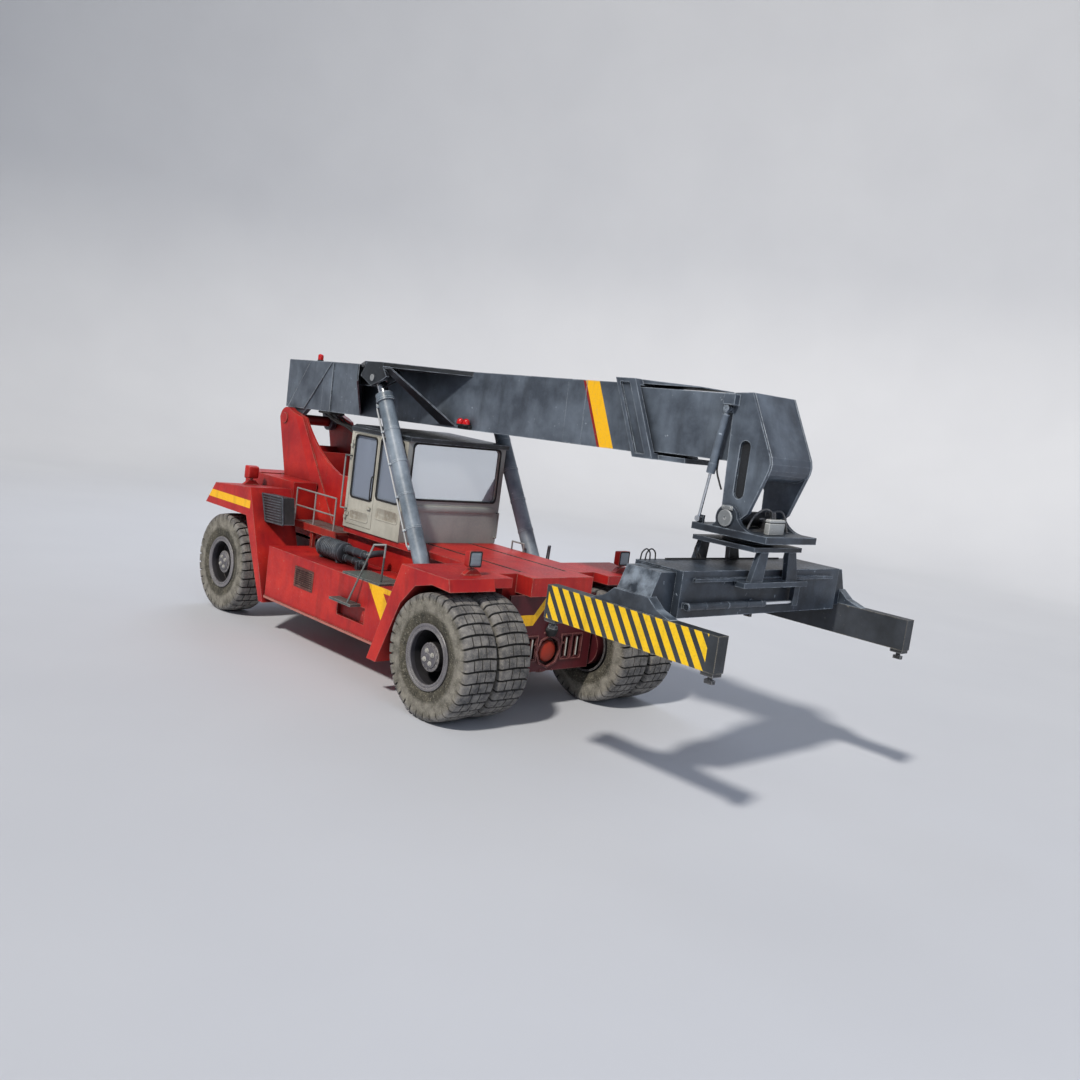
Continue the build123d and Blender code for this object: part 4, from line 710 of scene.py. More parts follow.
def tread_tops(tree, place, paint):
    """Grey rolled plate wherever the surface faces straight up and is low enough to walk on,
    and galvanised rails above it."""
    normal = add(tree, "TexCoord").outputs["Normal"]
    up_face = band(tree, normal, Z_AXIS, 0.95, 1.05)
    low_face = band(tree, place, Z_AXIS, 0.9, 1.785)
    plate = add(tree, "Mix", tread_lugs(tree, place), "#4a5250", "#8d9692", data_type="RGBA")
    walked_on = add(tree, "Math", up_face, low_face, operation="MULTIPLY")
    paint = add(tree, "Mix", walked_on, paint, plate, data_type="RGBA")
    return add(tree, "Mix", band(tree, place, Z_AXIS, 1.797, 3.0), paint, "#85898a", data_type="RGBA")


walkway_finish = enamel("red_enamel_round_tread_plate", "#8f1d18", "#a52e22", bare="#a98579",
                        grime_and_shade="#2a100e",
                        stripes=tread_tops)
step_finish = enamel("galvanised_tread_plate", "#3f4546", "#565d5d", bare="#9aa09e", grime_and_shade="#1a1b1a",
                     roughness=0.45, stripes=tread_tops)
paint_nodes(walkway_finish, "walkways")
paint_nodes(step_finish, "boarding_steps", "grab_rails")


# ---------------------------------------------------------------- work lamps
# Four square lamps in red pressed housings, each on a stalk over a three-cornered foot: the
# front pair looks forwards and the rear pair backwards through ribbed glass.
def rounded(width, height, radius, steps):
    """A rectangle with round corners: the arc of each corner about its own centre."""
    turn = np.linspace(0, pi / 2, steps)
    arcs = [np.stack([x * (width / 2 - radius) + radius * np.cos(turn + start),
                      y * (height / 2 - radius) + radius * np.sin(turn + start)], axis=-1)
            for x, y, start in ((1, 1, 0), (-1, 1, pi / 2), (-1, -1, pi), (1, -1, 1.5 * pi))]
    return np.concatenate(arcs)


def placed(points, origin, first, second):
    """Local points set out from an origin along two directions and the one square to both."""
    first, second = np.array(first, float), np.array(second, float)
    return (np.array(origin) + points[..., :1] * first + points[..., 1:2] * second
            + points[..., 2:3] * np.cross(first, second))


def slab(outline, origin, first, second, layers):
    """An outline carried along its own square direction: layers of (distance, inset)."""
    size = np.ptp(outline, axis=0)
    rows = [np.concatenate([outline * (1 - 2 * inset / size), np.full((len(outline), 1), far)], axis=1)
            for far, inset in layers]
    return grid(placed(np.array(rows), origin, first, second), round_columns=True, capped=True)


def bevelled(width, height, depth, bevel, origin, first, second):
    """A box with bevelled edges that stands on its origin."""
    outline = rounded(width, height, bevel, 3)
    return slab(outline, origin, first, second,
                [(0, bevel), (bevel, 0), (depth - bevel, 0), (depth, bevel)])


def frame_ring(width, height, corner, thick, depth, origin, first, second):
    """A flat ring round a rounded rectangle: its section is a bevelled oblong."""
    outline = rounded(width, height, corner, 6)
    size = np.ptp(outline, axis=0)
    section = [(0, 0), (depth * 0.7, 0), (depth, thick * 0.25), (depth, thick * 0.75),
               (depth * 0.7, thick), (0, thick)]
    rows = [np.concatenate([outline * (1 + 2 * (out - thick / 2) / size),
                            np.full((len(outline), 1), far)], axis=1)
            for far, out in section]
    return grid(placed(np.array(rows), origin, first, second), round_rows=True, round_columns=True)


lamp_glass, tree, shader, place = new_finish("ribbed_lamp_glass", Roughness=0.12, IOR=1.5)
ribs = [add(tree, "TexWave", place, 18.0, bands_direction=way).outputs["Fac"] for way in "ZY"]
squares = add(tree, "Math", *ribs, operation="MULTIPLY")
feed(tree, shader.inputs["Base Color"], add(tree, "Mix", squares, "#6f7b84", "#aab6bf", data_type="RGBA"))
feed(tree, shader.inputs["Normal"], add(tree, "Bump", Strength=0.5, Distance=0.002, Height=squares))
black_rubber, tree, shader, place = new_finish("black_rubber", Roughness=0.72)
cloud = add(tree, "TexNoise", place, 20.0, 4.0, 0.6)
feed(tree, shader.inputs["Base Color"], add(tree, "Mix", cloud, "#0f1011", "#25272a", data_type="RGBA"))

housings, lenses, bezels = [], [], []
lamp_feet = [(FRONT_AXLE + 0.02, 1.43, 1.91, 1), (REAR_AXLE + 0.063, 1.3, 2.198, -1)]
for x, y, z, way in lamp_feet:
    for hand in (-1, 1):
        base = np.array((x, hand * y, z))
        look = np.array((way, 0, 0))
        back = np.cross(Z_AXIS, look)
        foot = slab(rounded(0.3, 0.08, 0.008, 3), base, back, -look,
                    [(0, 0), (0.006, 0), (0.011, 0.005)])
        wedge = np.array([(-0.15, 0), (0.15, 0), (0.055, 0.078), (-0.055, 0.078)])
        gusset = slab(wedge - (0, 0.039), base + (0, 0, 0.039) - look * 0.038, back, Z_AXIS,
                      [(0, 0), (0.076, 0)])
        stalk = lathe([(0.01, 0.017), (0.12, 0.017)], base, Z_AXIS, 14)
        collar = lathe([(0.088, 0.026), (0.1, 0.028), (0.108, 0.024)], base, Z_AXIS, 18)
        centre = base + (0, 0, 0.215)
        shell = slab(rounded(0.216, 0.22, 0.02, 5), centre - look * 0.07, back, Z_AXIS,
                     [(0, 0.03), (0.01, 0.015), (0.055, 0.004), (0.115, 0.0), (0.125, 0.0),
                      (0.125, 0.013), (0.105, 0.015)])
        housings += [foot, gusset, stalk, collar, shell]
        housings += bolts([base + back * side + (0, 0, 0.008) for side in (-0.115, 0.115)], Z_AXIS, 0.009)
        bezels.append(frame_ring(0.188, 0.192, 0.022, 0.015, 0.013, centre + look * 0.05, back, Z_AXIS))
        lenses.append(slab(rounded(0.182, 0.186, 0.018, 5), centre + look * 0.038, back, Z_AXIS,
                           [(0, 0), (0.016, 0), (0.021, 0.008), (0.0235, 0.035)]))
build("work_lamp_housings", housings, red_enamel, "chassis", ("work_lamps",))
build("work_lamp_bezels", bezels, black_rubber, "chassis")
build("work_lamp_lenses", lenses, lamp_glass, "chassis")


# ---------------------------------------------------------------- beacon and boom lamps
# A red flashing beacon on the boom's roof, a moulded acrylic dome with rings inside, and a
# twin red marker lamp on a bracket low on the boom's right side.
BOOM_ALONG = np.array((cos(BOOM_REST), 0, sin(BOOM_REST)))
BOOM_UP = np.array((-sin(BOOM_REST), 0, cos(BOOM_REST)))
BOOM_PIVOT = np.array((REAR_AXLE - 0.297, 0, 3.38))
BOOM_FLOOR, BOOM_ROOF, BOOM_HALF = 0.2, 1.04, 0.41


def on_boom(along, y, rise):
    """A place on the boom at rest: along it, across it, and above its pivot line."""
    return BOOM_PIVOT + along * BOOM_ALONG + rise * BOOM_UP + np.array((0, y, 0))


beacon_foot = on_boom(0.61, -0.33, BOOM_ROOF)
ribs = [(0.026 + 0.0075 * k, 0.0490 if k % 2 else 0.0462) for k in range(9)]
dome = ribs + [(0.096, 0.0485), (0.109, 0.0435), (0.120, 0.032), (0.1265, 0.018), (0.129, 0.006)]
marker_at = (Vector((FRONT_AXLE - 1.7, 0, 3.811)) - Vector(BOOM_PIVOT)).dot(Vector(BOOM_ALONG))
red_parts = [lathe(dome, beacon_foot, BOOM_UP, 36)]
dark_parts = [lathe([(0, 0.055), (0.012, 0.055), (0.02, 0.05), (0.026, 0.05)], beacon_foot, BOOM_UP, 36)]
dark_parts.append(bevelled(0.26, 0.05, 0.06, 0.006, on_boom(marker_at, -BOOM_HALF, 0.235), BOOM_ALONG,
                           BOOM_UP))
for shift in (-0.068, 0.068):
    seat = on_boom(marker_at + shift, -BOOM_HALF - 0.065, 0.255)
    dark_parts.append(lathe([(0, 0.058), (0.018, 0.058), (0.022, 0.054)], seat, BOOM_UP, 28))
    red_parts.append(lathe([(0.02, 0.054), (0.05, 0.054), (0.078, 0.046), (0.096, 0.03), (0.104, 0.01)],
                           seat, BOOM_UP, 28))
build("beacon_and_marker_lenses", red_parts, red_lens, "boom", ("boom_lamps",))
build("beacon_and_marker_bases", dark_parts, black_rubber, "boom")


# ---------------------------------------------------------------- pins and their caps
# The boom's, the head's and the lift cylinders' pins end in turned steel caps, each held by
# bolts or by a keeper plate that stops it from turning.
pin_steel = enamel("turned_steel_cap", "#6d7276", "#8a8f92", bare="#b5b9bb", grime_and_shade="#232323",
                   roughness=0.42)
HEAD_PIN = np.array((FRONT_AXLE + 3.2, 0, 3.218))
LIFT_EYE = np.array((FRONT_AXLE - 3.0, 0, 4.27))


def cap(centre, out, radius, thick=0.014, bolt_count=0):
    """A turned disc with a chamfer and a centre hole, and a ring of bolts."""
    disc = lathe([(0, radius), (thick * 0.6, radius), (thick, radius * 0.93), (thick, radius * 0.2),
                  (thick * 0.3, radius * 0.14)], centre, out, 40)
    ring = bolts(around(np.array(centre) + np.array(out) * thick, out, radius * 0.68, bolt_count, 0.4),
                 out, radius * 0.11)
    return [disc] + ring


tower_caps, head_caps, eye_caps = [], [], []
for hand in (-1, 1):
    out = np.array((0, hand, 0))
    tower_caps += cap(BOOM_PIVOT + out * 0.56, out, 0.078, bolt_count=4)
    head_caps += cap(HEAD_PIN + out * 0.51, out, 0.097)
    eye_caps += cap(LIFT_EYE + out * (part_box("boom_wings")[1][1] - 0.002), out, 0.05, 0.01)
    keeper = bevelled(0.15, 0.045, 0.012, 0.003, HEAD_PIN + out * 0.49 + (0, 0, 0.118), X_AXIS * -hand,
                      Z_AXIS)
    head_caps += [keeper] + bolts([HEAD_PIN + out * 0.502 + (x, 0, 0.118) for x in (-0.05, 0.05)], out,
                                  0.009)
build("tower_pin_caps", tower_caps, pin_steel, "chassis")
build("head_pin_caps", head_caps, pin_steel, "tilt_frame")
build("lift_eye_caps", eye_caps, pin_steel, "boom")


# ---------------------------------------------------------------- weld beads
# Hand-laid fillet welds along the boom's doubling plates, the head's nose plate and the wing
# struts: proud ribbed beads, their paint long rubbed off.
weld_steel = enamel("worn_weld_bead", "#525c67", "#79848f", bare="#a5aeb7", grime_and_shade="#1d2125",
                    roughness=0.45)


def pipe(points, radius, sides, steps, ripple=0.0):
    """A round tube through points: a Catmull-Rom curve where steps is over 1, straight runs
    where it is 1. Its section is carried along without twisting, and its ends are closed."""
    points = np.array(points, float)
    if steps > 1:
        ends = np.concatenate([[2 * points[0] - points[1]], points, [2 * points[-1] - points[-2]]])
        t = (np.arange(steps) / steps)[:, None, None]
        a, b, c, d = (ends[i:len(ends) - 3 + i][None] for i in range(4))
        curve = 0.5 * (2 * b + (c - a) * t + (2 * a - 5 * b + 4 * c - d) * t ** 2
                       + (3 * b - a - 3 * c + d) * t ** 3)
        points = np.concatenate([curve.transpose(1, 0, 2).reshape(-1, 3), points[-1:]])
    along = np.gradient(points, axis=0)
    along = along / np.linalg.norm(along, axis=1, keepdims=True)
    first = square_to(along[0])[1]
    normals = []
    for direction in along:
        first = first - direction * first.dot(direction)
        first = first / np.linalg.norm(first)
        normals.append(first)
    normals = np.array(normals)
    second = np.cross(along, normals)
    angle = np.arange(sides) * 2 * pi / sides
    width = radius * (1 + ripple * (np.arange(len(points)) % 2))[:, None, None]
    ring = (np.cos(angle)[None, :, None] * normals[:, None]
            + np.sin(angle)[None, :, None] * second[:, None])
    return grid(points[:, None] + width * ring, round_columns=True, capped=True)


def bead(start, end, radius=0.008):
    """A straight weld bead with a ripple every 12 mm."""
    start, end = np.array(start, float), np.array(end, float)
    count = max(int(np.linalg.norm(end - start) / 0.012), 2)
    return pipe(start + np.linspace(0, 1, count)[:, None] * (end - start), radius, 6, 1, 0.18)


boom_beads, head_beads = [], []
for hand in (-1, 1):
    side = hand * (BOOM_HALF + 0.018)
    for (u0, w0), (u1, w1) in (((0.469, 1.03), (-0.174, 0.21)), ((1.142, 1.03), (0.369, 0.21)),
                               ((1.195, 1.03), (1.195, 0.21))):
        boom_beads.append(bead(on_boom(u0, side, w0), on_boom(u1, side, w1)))
    boom_beads.append(bead(on_boom(-0.25, hand * BOOM_HALF, BOOM_ROOF - 0.002),
                           on_boom(1.9, hand * BOOM_HALF, BOOM_ROOF - 0.002), 0.006))
    edge = [(3.262, 4.648), (3.614, 3.965), (3.631, 3.890), (3.624, 3.820), (3.600, 3.768),
            (3.562, 3.728)]
    for (x0, z0), (x1, z1) in zip(edge, edge[1:]):
        head_beads.append(bead((FRONT_AXLE + x0, hand * 0.388, z0 - 0.004),
                               (FRONT_AXLE + x1, hand * 0.388, z1 - 0.004), 0.006))
build("boom_weld_beads", boom_beads, weld_steel, "boom")
build("head_weld_beads", head_beads, weld_steel, "inner_boom")
# Dark sheets laid in the head's slots as painted shade.
slot_shade_sheets = [slab(rounded(0.142, 0.657, 0.07, 9), (FRONT_AXLE + 3.262, hand * 0.382, 3.7775),
                   X_AXIS * -hand, Z_AXIS,
                   [(-0.002, 0), (0.004, 0.002)]) for hand in (-1, 1)]
slot_shade_enamel = enamel("dark_slot_enamel_painted_shade", "#15171b", "#24282e", bare="#4d565f", grime_and_shade="#0b0b0c",
                    roughness=0.6)
build("head_slot_shade_sheets", slot_shade_sheets, slot_shade_enamel, "inner_boom")


# ---------------------------------------------------------------- cab glazing and doors
# Toughened panes held in black rubber gaskets, pressed panels below them, and a pull handle
# on the door.
CAB_BACK, CAB_FRONT, CAB_SIDE = FRONT_AXLE - 3.8, FRONT_AXLE - 2.3, 0.95
RIGHT_WALL = ((X_AXIS, Z_AXIS), -CAB_SIDE)
LEFT_WALL = ((-X_AXIS, Z_AXIS), CAB_SIDE)


def on_wall(wall, x0, x1, z0, z1):
    """The width, height, middle and directions of an oblong on one of the cab's side walls."""
    directions, y = wall
    return x1 - x0, z1 - z0, np.array(((x0 + x1) / 2, y, (z0 + z1) / 2)), *directions


def gasket(place):
    """A rubber strip round a window, 26 mm wide and 14 mm proud of the wall."""
    width, height, middle, first, second = place
    return frame_ring(width, height, 0.07, 0.026, 0.014, middle, first, second)


def pressed(place):
    """A pressed panel: its rim stands 5 mm proud and its middle is dished."""
    width, height, middle, first, second = place
    return slab(rounded(width, height, 0.05, 6), middle, first, second,
                [(0, 0), (0.005, 0.003), (0.006, 0.009), (0.006, 0.018), (0.002, 0.026)])


windscreen = (1.70, 0.84, np.array((CAB_FRONT, 0, 2.98)), Y_AXIS, Z_AXIS)
rear_window = (1.40, 0.72, np.array((CAB_BACK, 0, 3.02)), -Y_AXIS, Z_AXIS)
gaskets = [gasket(windscreen), gasket(rear_window)]
for wall in (RIGHT_WALL, LEFT_WALL):
    gaskets.append(gasket(on_wall(wall, FRONT_AXLE - 2.99, FRONT_AXLE - 2.40, 2.46, 3.39)))
gaskets.append(gasket(on_wall(LEFT_WALL, FRONT_AXLE - 3.70, FRONT_AXLE - 3.08, 2.46, 3.39)))
build("cab_gaskets", gaskets, black_rubber, "chassis")
door_low, door_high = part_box("door_glass")
door_opening = on_wall(RIGHT_WALL, door_low[0], door_high[0], door_low[2], door_high[2])
build("door_gasket", [gasket(door_opening)], black_rubber, "cab_door")
panels = [pressed(on_wall(wall, FRONT_AXLE - 2.96, FRONT_AXLE - 2.37, 2.15, 2.35))
          for wall in (RIGHT_WALL, LEFT_WALL)]
panels.append(pressed(on_wall(LEFT_WALL, FRONT_AXLE - 3.70, FRONT_AXLE - 3.08, 2.15, 2.35)))
panels.append(slab(rounded(1.72, 0.10, 0.02, 4), np.array((CAB_FRONT, 0, 2.43)), Y_AXIS, Z_AXIS,
                   [(0, 0), (0.012, 0.004), (0.018, 0.016)]))
build("cab_pressed_panels", panels, cream_enamel, "chassis")
door_panel = pressed(on_wall(RIGHT_WALL, FRONT_AXLE - 3.66, FRONT_AXLE - 3.13, 2.04, 2.21))
build("door_pressed_panel", [door_panel], cream_enamel, "cab_door")
handle_x = FRONT_AXLE - 3.10
handle = [pipe([(handle_x, -0.952, 2.42), (handle_x, -0.985, 2.44), (handle_x, -0.99, 2.6),
                (handle_x, -0.985, 2.76),
                (handle_x, -0.952, 2.78)], 0.011, 10, 8)]
handle += bolts([(handle_x, -0.95, z) for z in (2.42, 2.78)], -Y_AXIS, 0.014)
build("door_pull_handle", handle, black_rubber, "cab_door")


# ---------------------------------------------------------------- driver's seat
# A sprung seat: black vinyl over foam, the cushion and back crowned between their piped
# edges, on a folded steel box with a rubber bellows.
black_vinyl, tree, shader, place = new_finish("black_vinyl", Roughness=0.5)
grain = add(tree, "TexVoronoi", place, 420.0)
folds = add(tree, "MapRange", add(tree, "TexNoise", place, 9.0, 4.0, 0.6), 0.4, 0.7)
feed(tree, shader.inputs["Base Color"], add(tree, "Mix", folds, "#17181a", "#2d2e31", data_type="RGBA"))
feed(tree, shader.inputs["Normal"], add(tree, "Bump", Strength=0.35, Distance=0.0008, Height=grain))
SEAT_X = FRONT_AXLE - 3.35
SEAT_FLOOR = 1.97


def crowned(width, length, thick, middle, first, second):
    """A stuffed pad: a rounded oblong carried through its thickness, drawn in at both faces by
    a quarter ellipse, with the faces bulging most in the middle."""
    outline = rounded(width, length, min(width, length) * 0.22, 7)
    turn = np.linspace(-pi / 2, pi / 2, 13)
    side = np.cos(turn[1:-1]) ** 0.35 * 0.04 + 0.96
    shrink = np.concatenate([[0.1, 0.45, 0.8], side, [0.8, 0.45, 0.1]])
    height = np.concatenate([[-0.62, -0.6, -0.55], np.sin(turn[1:-1]) / 2,
                             [0.55, 0.6, 0.62]]) * thick * 0.8
    rows = [np.concatenate([outline * size, np.full((len(outline), 1), rise)], axis=1)
            for size, rise in zip(shrink, height)]
    return grid(placed(np.array(rows), middle, first, second), round_columns=True, capped=True)


lean = np.array((-sin(radians(9)), 0, cos(radians(9))))
pads = [crowned(0.50, 0.50, 0.13, (SEAT_X + 0.01, 0, SEAT_FLOOR + 0.39), X_AXIS, Y_AXIS),
        crowned(0.46, 0.58, 0.12, (SEAT_X - 0.235, 0, SEAT_FLOOR + 0.755), Y_AXIS, lean),
        crowned(0.26, 0.17, 0.09, (SEAT_X - 0.272, 0, SEAT_FLOOR + 0.995), Y_AXIS, lean)]
seat_pads = build("seat_pads", pads, black_vinyl, "chassis", ("driver_seat",), sharp=60)
bellows = [(0.005 + 0.018 * k, 0.13 if k % 2 else 0.15) for k in range(12)]
seat_base = [bevelled(0.3, 0.3, 0.1, 0.012, (SEAT_X, 0, SEAT_FLOOR), X_AXIS, Y_AXIS),
             lathe([(0.1 + z, r) for z, r in bellows], (SEAT_X, 0, SEAT_FLOOR), Z_AXIS, 32)]
for hand in (-1, 1):
    seat_base.append(bevelled(0.26, 0.055, 0.035, 0.01, (SEAT_X - 0.06, hand * 0.285, SEAT_FLOOR + 0.58),
                              X_AXIS, Y_AXIS))
    seat_base.append(pipe([(SEAT_X - 0.22, hand * 0.25, SEAT_FLOOR + 0.5),
                           (SEAT_X - 0.2, hand * 0.285, SEAT_FLOOR + 0.55),
                           (SEAT_X - 0.12, hand * 0.285, SEAT_FLOOR + 0.59)], 0.016, 10, 6))
seat_base.append(lathe([(0, 0.022), (0.02, 0.014), (0.1, 0.012), (0.12, 0.02), (0.15, 0.022),
                        (0.165, 0.014)],
                       (SEAT_X + 0.05, -0.285, SEAT_FLOOR + 0.615), Z_AXIS, 20))
build("seat_base", seat_base, black_plastic, "chassis")
screen_stand = [bevelled(0.26, 0.18, 0.03, 0.008, (FRONT_AXLE - 2.47, -0.2, 2.78), Y_AXIS * -1, Z_AXIS),
                pipe([(FRONT_AXLE - 2.47, -0.2, 2.58), (FRONT_AXLE - 2.45, -0.2, 2.7)], 0.014, 10, 2)]
build("cab_screen", screen_stand, black_plastic, "chassis")


# ---------------------------------------------------------------- air cleaner and pipes
# A ribbed steel drum in two straps, and ahead of it two smooth black silencers, one above the
# other in band clamps, on the ledge below the walkway.
drum_enamel = enamel("dark_grey_drum_enamel", "#24282e", "#3a4048", bare="#7d8791", grime_and_shade="#101112",
                     roughness=0.45)
drum_parts, band_parts = [], []
for hand in (-1, 1):
    start = np.array((FRONT_AXLE - 3.78, hand * 1.28, 1.59))
    ridge = [(0.05 + 0.0225 * k, 0.158 if k % 2 else 0.149) for k in range(24)]
    drum_parts.append(lathe([(0.0, 0.02), (0.002, 0.11), (0.014, 0.143), (0.04, 0.156)] + ridge
                            + [(0.60, 0.158), (0.642, 0.157), (0.656, 0.14), (0.662, 0.09)], start,
                            X_AXIS, 48))
    for x in (0.1, 0.56):
        band_parts.append(lathe([(x, 0.155), (x, 0.161), (x + 0.03, 0.161), (x + 0.03, 0.155)], start,
                                X_AXIS, 48, ring=True))
    for rise in (-0.068, 0.068):
        silencer = start + (0, 0, rise)
        drum_parts.append(lathe([(0.655, 0.05), (0.675, 0.06), (0.69, 0.063), (1.15, 0.063), (1.18, 0.06),
                                 (1.205, 0.045),
                                 (1.213, 0.015)], silencer, X_AXIS, 36))
        for x in (0.72, 0.92, 1.12):
            band_parts.append(lathe([(x, 0.061), (x, 0.067), (x + 0.022, 0.067), (x + 0.022, 0.061)],
                                    silencer, X_AXIS,
                                    36, ring=True))
    outlet = start + (1.15, 0, 0.05)
    drum_parts.append(pipe([outlet, outlet + (0.05, hand * -0.03, 0.02),
                            outlet + (0.09, hand * -0.12, 0.05),
                            outlet + (0.10, hand * -0.26, 0.06)], 0.05, 16, 8))
    for x in (0.09, 0.545, 1.08):
        drum_parts.append(bevelled(0.05, 0.2, 0.13, 0.006, start + (x + 0.01, 0, -0.165), X_AXIS, Y_AXIS))
build("air_cleaners", drum_parts, drum_enamel, "chassis", ("canisters",))
build("air_cleaner_straps", band_parts, drum_enamel, "chassis")


# ---------------------------------------------------------------- louvres and grilles
# The intake boxes have a row of pressed louvres in an angle-iron frame, and the side boxes a
# square of woven wire in front of a black sheet that paints the shade inside the opening.
louvres, mesh_wire, mesh_shade_sheets = [], [], []
INTAKE = np.array([(0.922, 2.165), (1.1, 1.74), (1.663, 1.76), (1.573, 2.19)])
for hand in (-1, 1):
    skin = hand * 1.541
    edge = INTAKE + (REAR_AXLE, 0)
    for (x0, z0), (x1, z1) in zip(edge, np.roll(edge, -1, axis=0)):
        louvres.append(pipe([(x0, skin, z0), (x1, skin, z1)], 0.016, 8, 1))
    for share in np.linspace(0.1, 0.9, 9):
        left = edge[0] + (edge[1] - edge[0]) * share
        right = edge[3] + (edge[2] - edge[3]) * share
        lip = pipe([(left[0] + 0.03, skin, left[1]), (right[0] - 0.03, skin, right[1])], 0.013, 6, 1)
        louvres.append(lip)
    wall = hand * 1.7205
    first = X_AXIS if hand < 0 else -X_AXIS
    middle = np.array((FRONT_AXLE - 3.523, wall, 1.113))
    # Painted shade: a black sheet for the shaded inside of the opening.
    mesh_shade_sheets.append(bevelled(0.50, 0.28, 0.004, 0.001, middle, first, Z_AXIS))
    mesh_wire.append(frame_ring(0.51, 0.29, 0.012, 0.03, 0.01, middle, first, Z_AXIS))
    for x in np.linspace(-0.235, 0.235, 16):
        mesh_wire.append(pipe([middle + (x, hand * 0.006, -0.14), middle + (x, hand * 0.006, 0.14)],
                              0.0035, 5, 1))
    for z in np.linspace(-0.125, 0.125, 9):
        mesh_wire.append(pipe([middle + (-0.25, hand * 0.010, z), middle + (0.25, hand * 0.010, z)],
                              0.0035, 5, 1))
build("intake_louvres", louvres, drum_enamel, "chassis")
build("side_box_mesh_shade_sheets", mesh_shade_sheets, black_rubber, "chassis")
mesh_enamel = enamel("rusty_wire_enamel", "#4a1a1a", "#5f2c26", bare="#8a6a60", grime_and_shade="#1a0c0c",
                     roughness=0.55)
build("side_box_mesh", mesh_wire, mesh_enamel, "chassis")


# ---------------------------------------------------------------- axle cap and light bars
# The front axle's cast differential shows through a hole in the nose plate under an orange-red
# domed cover, between slots whose posts carry polished bars, with a rubber buffer above it.
orange_enamel = enamel("orange_red_enamel", "#9c2a12", "#b8401f", bare="#c08a6a", grime_and_shade="#3a120a",
                       roughness=0.45)
NOSE_X = FRONT_AXLE + 0.18
cap_place = np.array((NOSE_X - 0.062, 0, AXLE_Z))
dome = [(0, 0.156), (0.034, 0.156), (0.046, 0.15), (0.062, 0.128), (0.074, 0.096), (0.082, 0.05),
        (0.084, 0.012)]
build("axle_cap", [lathe(dome, cap_place, X_AXIS, 56)], orange_enamel, "chassis")
ring_profile = [(-0.01, 0.206), (0.012, 0.208), (0.018, 0.216), (0.018, 0.236), (0.012, 0.243),
                (0, 0.243), (-0.01, 0.225)]
hole_ring = [lathe(ring_profile, (NOSE_X, 0, AXLE_Z), X_AXIS, 8, ring=True)]
for y in (-0.33, 0.33, -0.54, 0.54):
    hole_ring.append(frame_ring(0.2, 0.36, 0.012, 0.018, 0.014, (NOSE_X, y, 0.89), Y_AXIS, Z_AXIS))
hole_ring += bolts(around((NOSE_X + 0.002, 0, AXLE_Z), X_AXIS, 0.29, 8, 0.39), X_AXIS, 0.012)
build("nose_rings", hole_ring, dark_red_enamel, "chassis")
bars = [pipe([(NOSE_X + 0.008, y, 0.76), (NOSE_X + 0.008, y, 1.02)], 0.010, 10, 1)
        for y in (-0.33, 0.33, -0.54, 0.54)]
build("nose_bars", bars, bright_steel, "chassis")
buffer = [lathe([(0, 0.11), (0.03, 0.11), (0.045, 0.10), (0.07, 0.075), (0.08, 0.04)], (NOSE_X, 0, 1.15),
                X_AXIS, 6)]
build("nose_buffer", buffer, black_rubber, "chassis")


# ---------------------------------------------------------------- rotator motor and head details
# The slew motor: a pale valve box with a lid and plugs beside a black gearbox dome, hoses
# looping over it, and hoses that trail from the damping cylinders.
pale_enamel = enamel("pale_grey_enamel", "#979b9d", "#b0b4b4", bare="#cccecc", grime_and_shade="#3d3d3b",
                     roughness=0.5)
low, high = (np.array(corner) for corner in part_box("rotator_motor"))
box_x, box_y = (high[0] - 0.07, high[0]), (low[1] - 0.04, low[1] + 0.26)
gear = np.array((FRONT_AXLE + 3.43, 0.03, 3.10))
box_middle = np.array(((box_x[0] + box_x[1]) / 2, (box_y[0] + box_y[1]) / 2, 3.10))
valve_box = [bevelled(0.068, 0.298, 0.135, 0.008, box_middle, X_AXIS, Y_AXIS),
             bevelled(0.068, 0.298, 0.034, 0.008, box_middle + (0, 0, 0.1405), X_AXIS, Y_AXIS)]
valve_box += bolts([box_middle + (x, y, 0.1735) for x in (-0.018, 0.018) for y in (-0.13, 0.13)], Z_AXIS,
                   0.007, 0.004)
build("valve_box", valve_box, pale_enamel, "tilt_frame", ("rotator_motor",))
motor = [lathe([(0, 0.124), (0.03, 0.124), (0.034, 0.116), (0.118, 0.116), (0.124, 0.124), (0.140, 0.124),
                (0.152, 0.1),
                (0.156, 0.066), (0.162, 0.064), (0.215, 0.062), (0.236, 0.05), (0.242, 0.02)], gear,
               Z_AXIS, 40)]
motor += bolts(around(gear + (0, 0, 0.14), Z_AXIS, 0.108, 10), Z_AXIS, 0.008)
motor += [pipe([gear + (0.05, -0.04, 0.17), gear + (0.06, -0.10, 0.25), gear + (0.03, -0.20, 0.26),
                gear + (-0.02, -0.30, 0.16), gear + (-0.05, -0.345, 0.01)], 0.013, 10, 8),
          pipe([gear + (-0.05, 0.04, 0.17), gear + (-0.02, 0.12, 0.24), gear + (0.02, 0.22, 0.22),
                gear + (0.06, 0.29, 0.01)], 0.013, 10, 8)]
motor.append(lathe([(0, 0.27), (0.018, 0.27), (0.027, 0.255), (0.03, 0.2)], (FRONT_AXLE + 3.2, 0, 3.10),
                   Z_AXIS, 56))
build("slew_motor", motor, oily_steel, "tilt_frame")
head_lines = [pipe([(FRONT_AXLE + x, hand * 0.434, z) for x,
                    z in ((2.90, 3.93), (2.925, 3.86), (2.93, 3.72), (2.985, 3.60),
                                                                  (3.03, 3.52))], 0.011, 8, 8)
              for hand in (-1, 1)]
build("damper_hoses", head_lines, black_rubber, "damper_barrels")
hoses = []
SPREADER_X, SPREADER_TOP = FRONT_AXLE + 3.193, 2.68
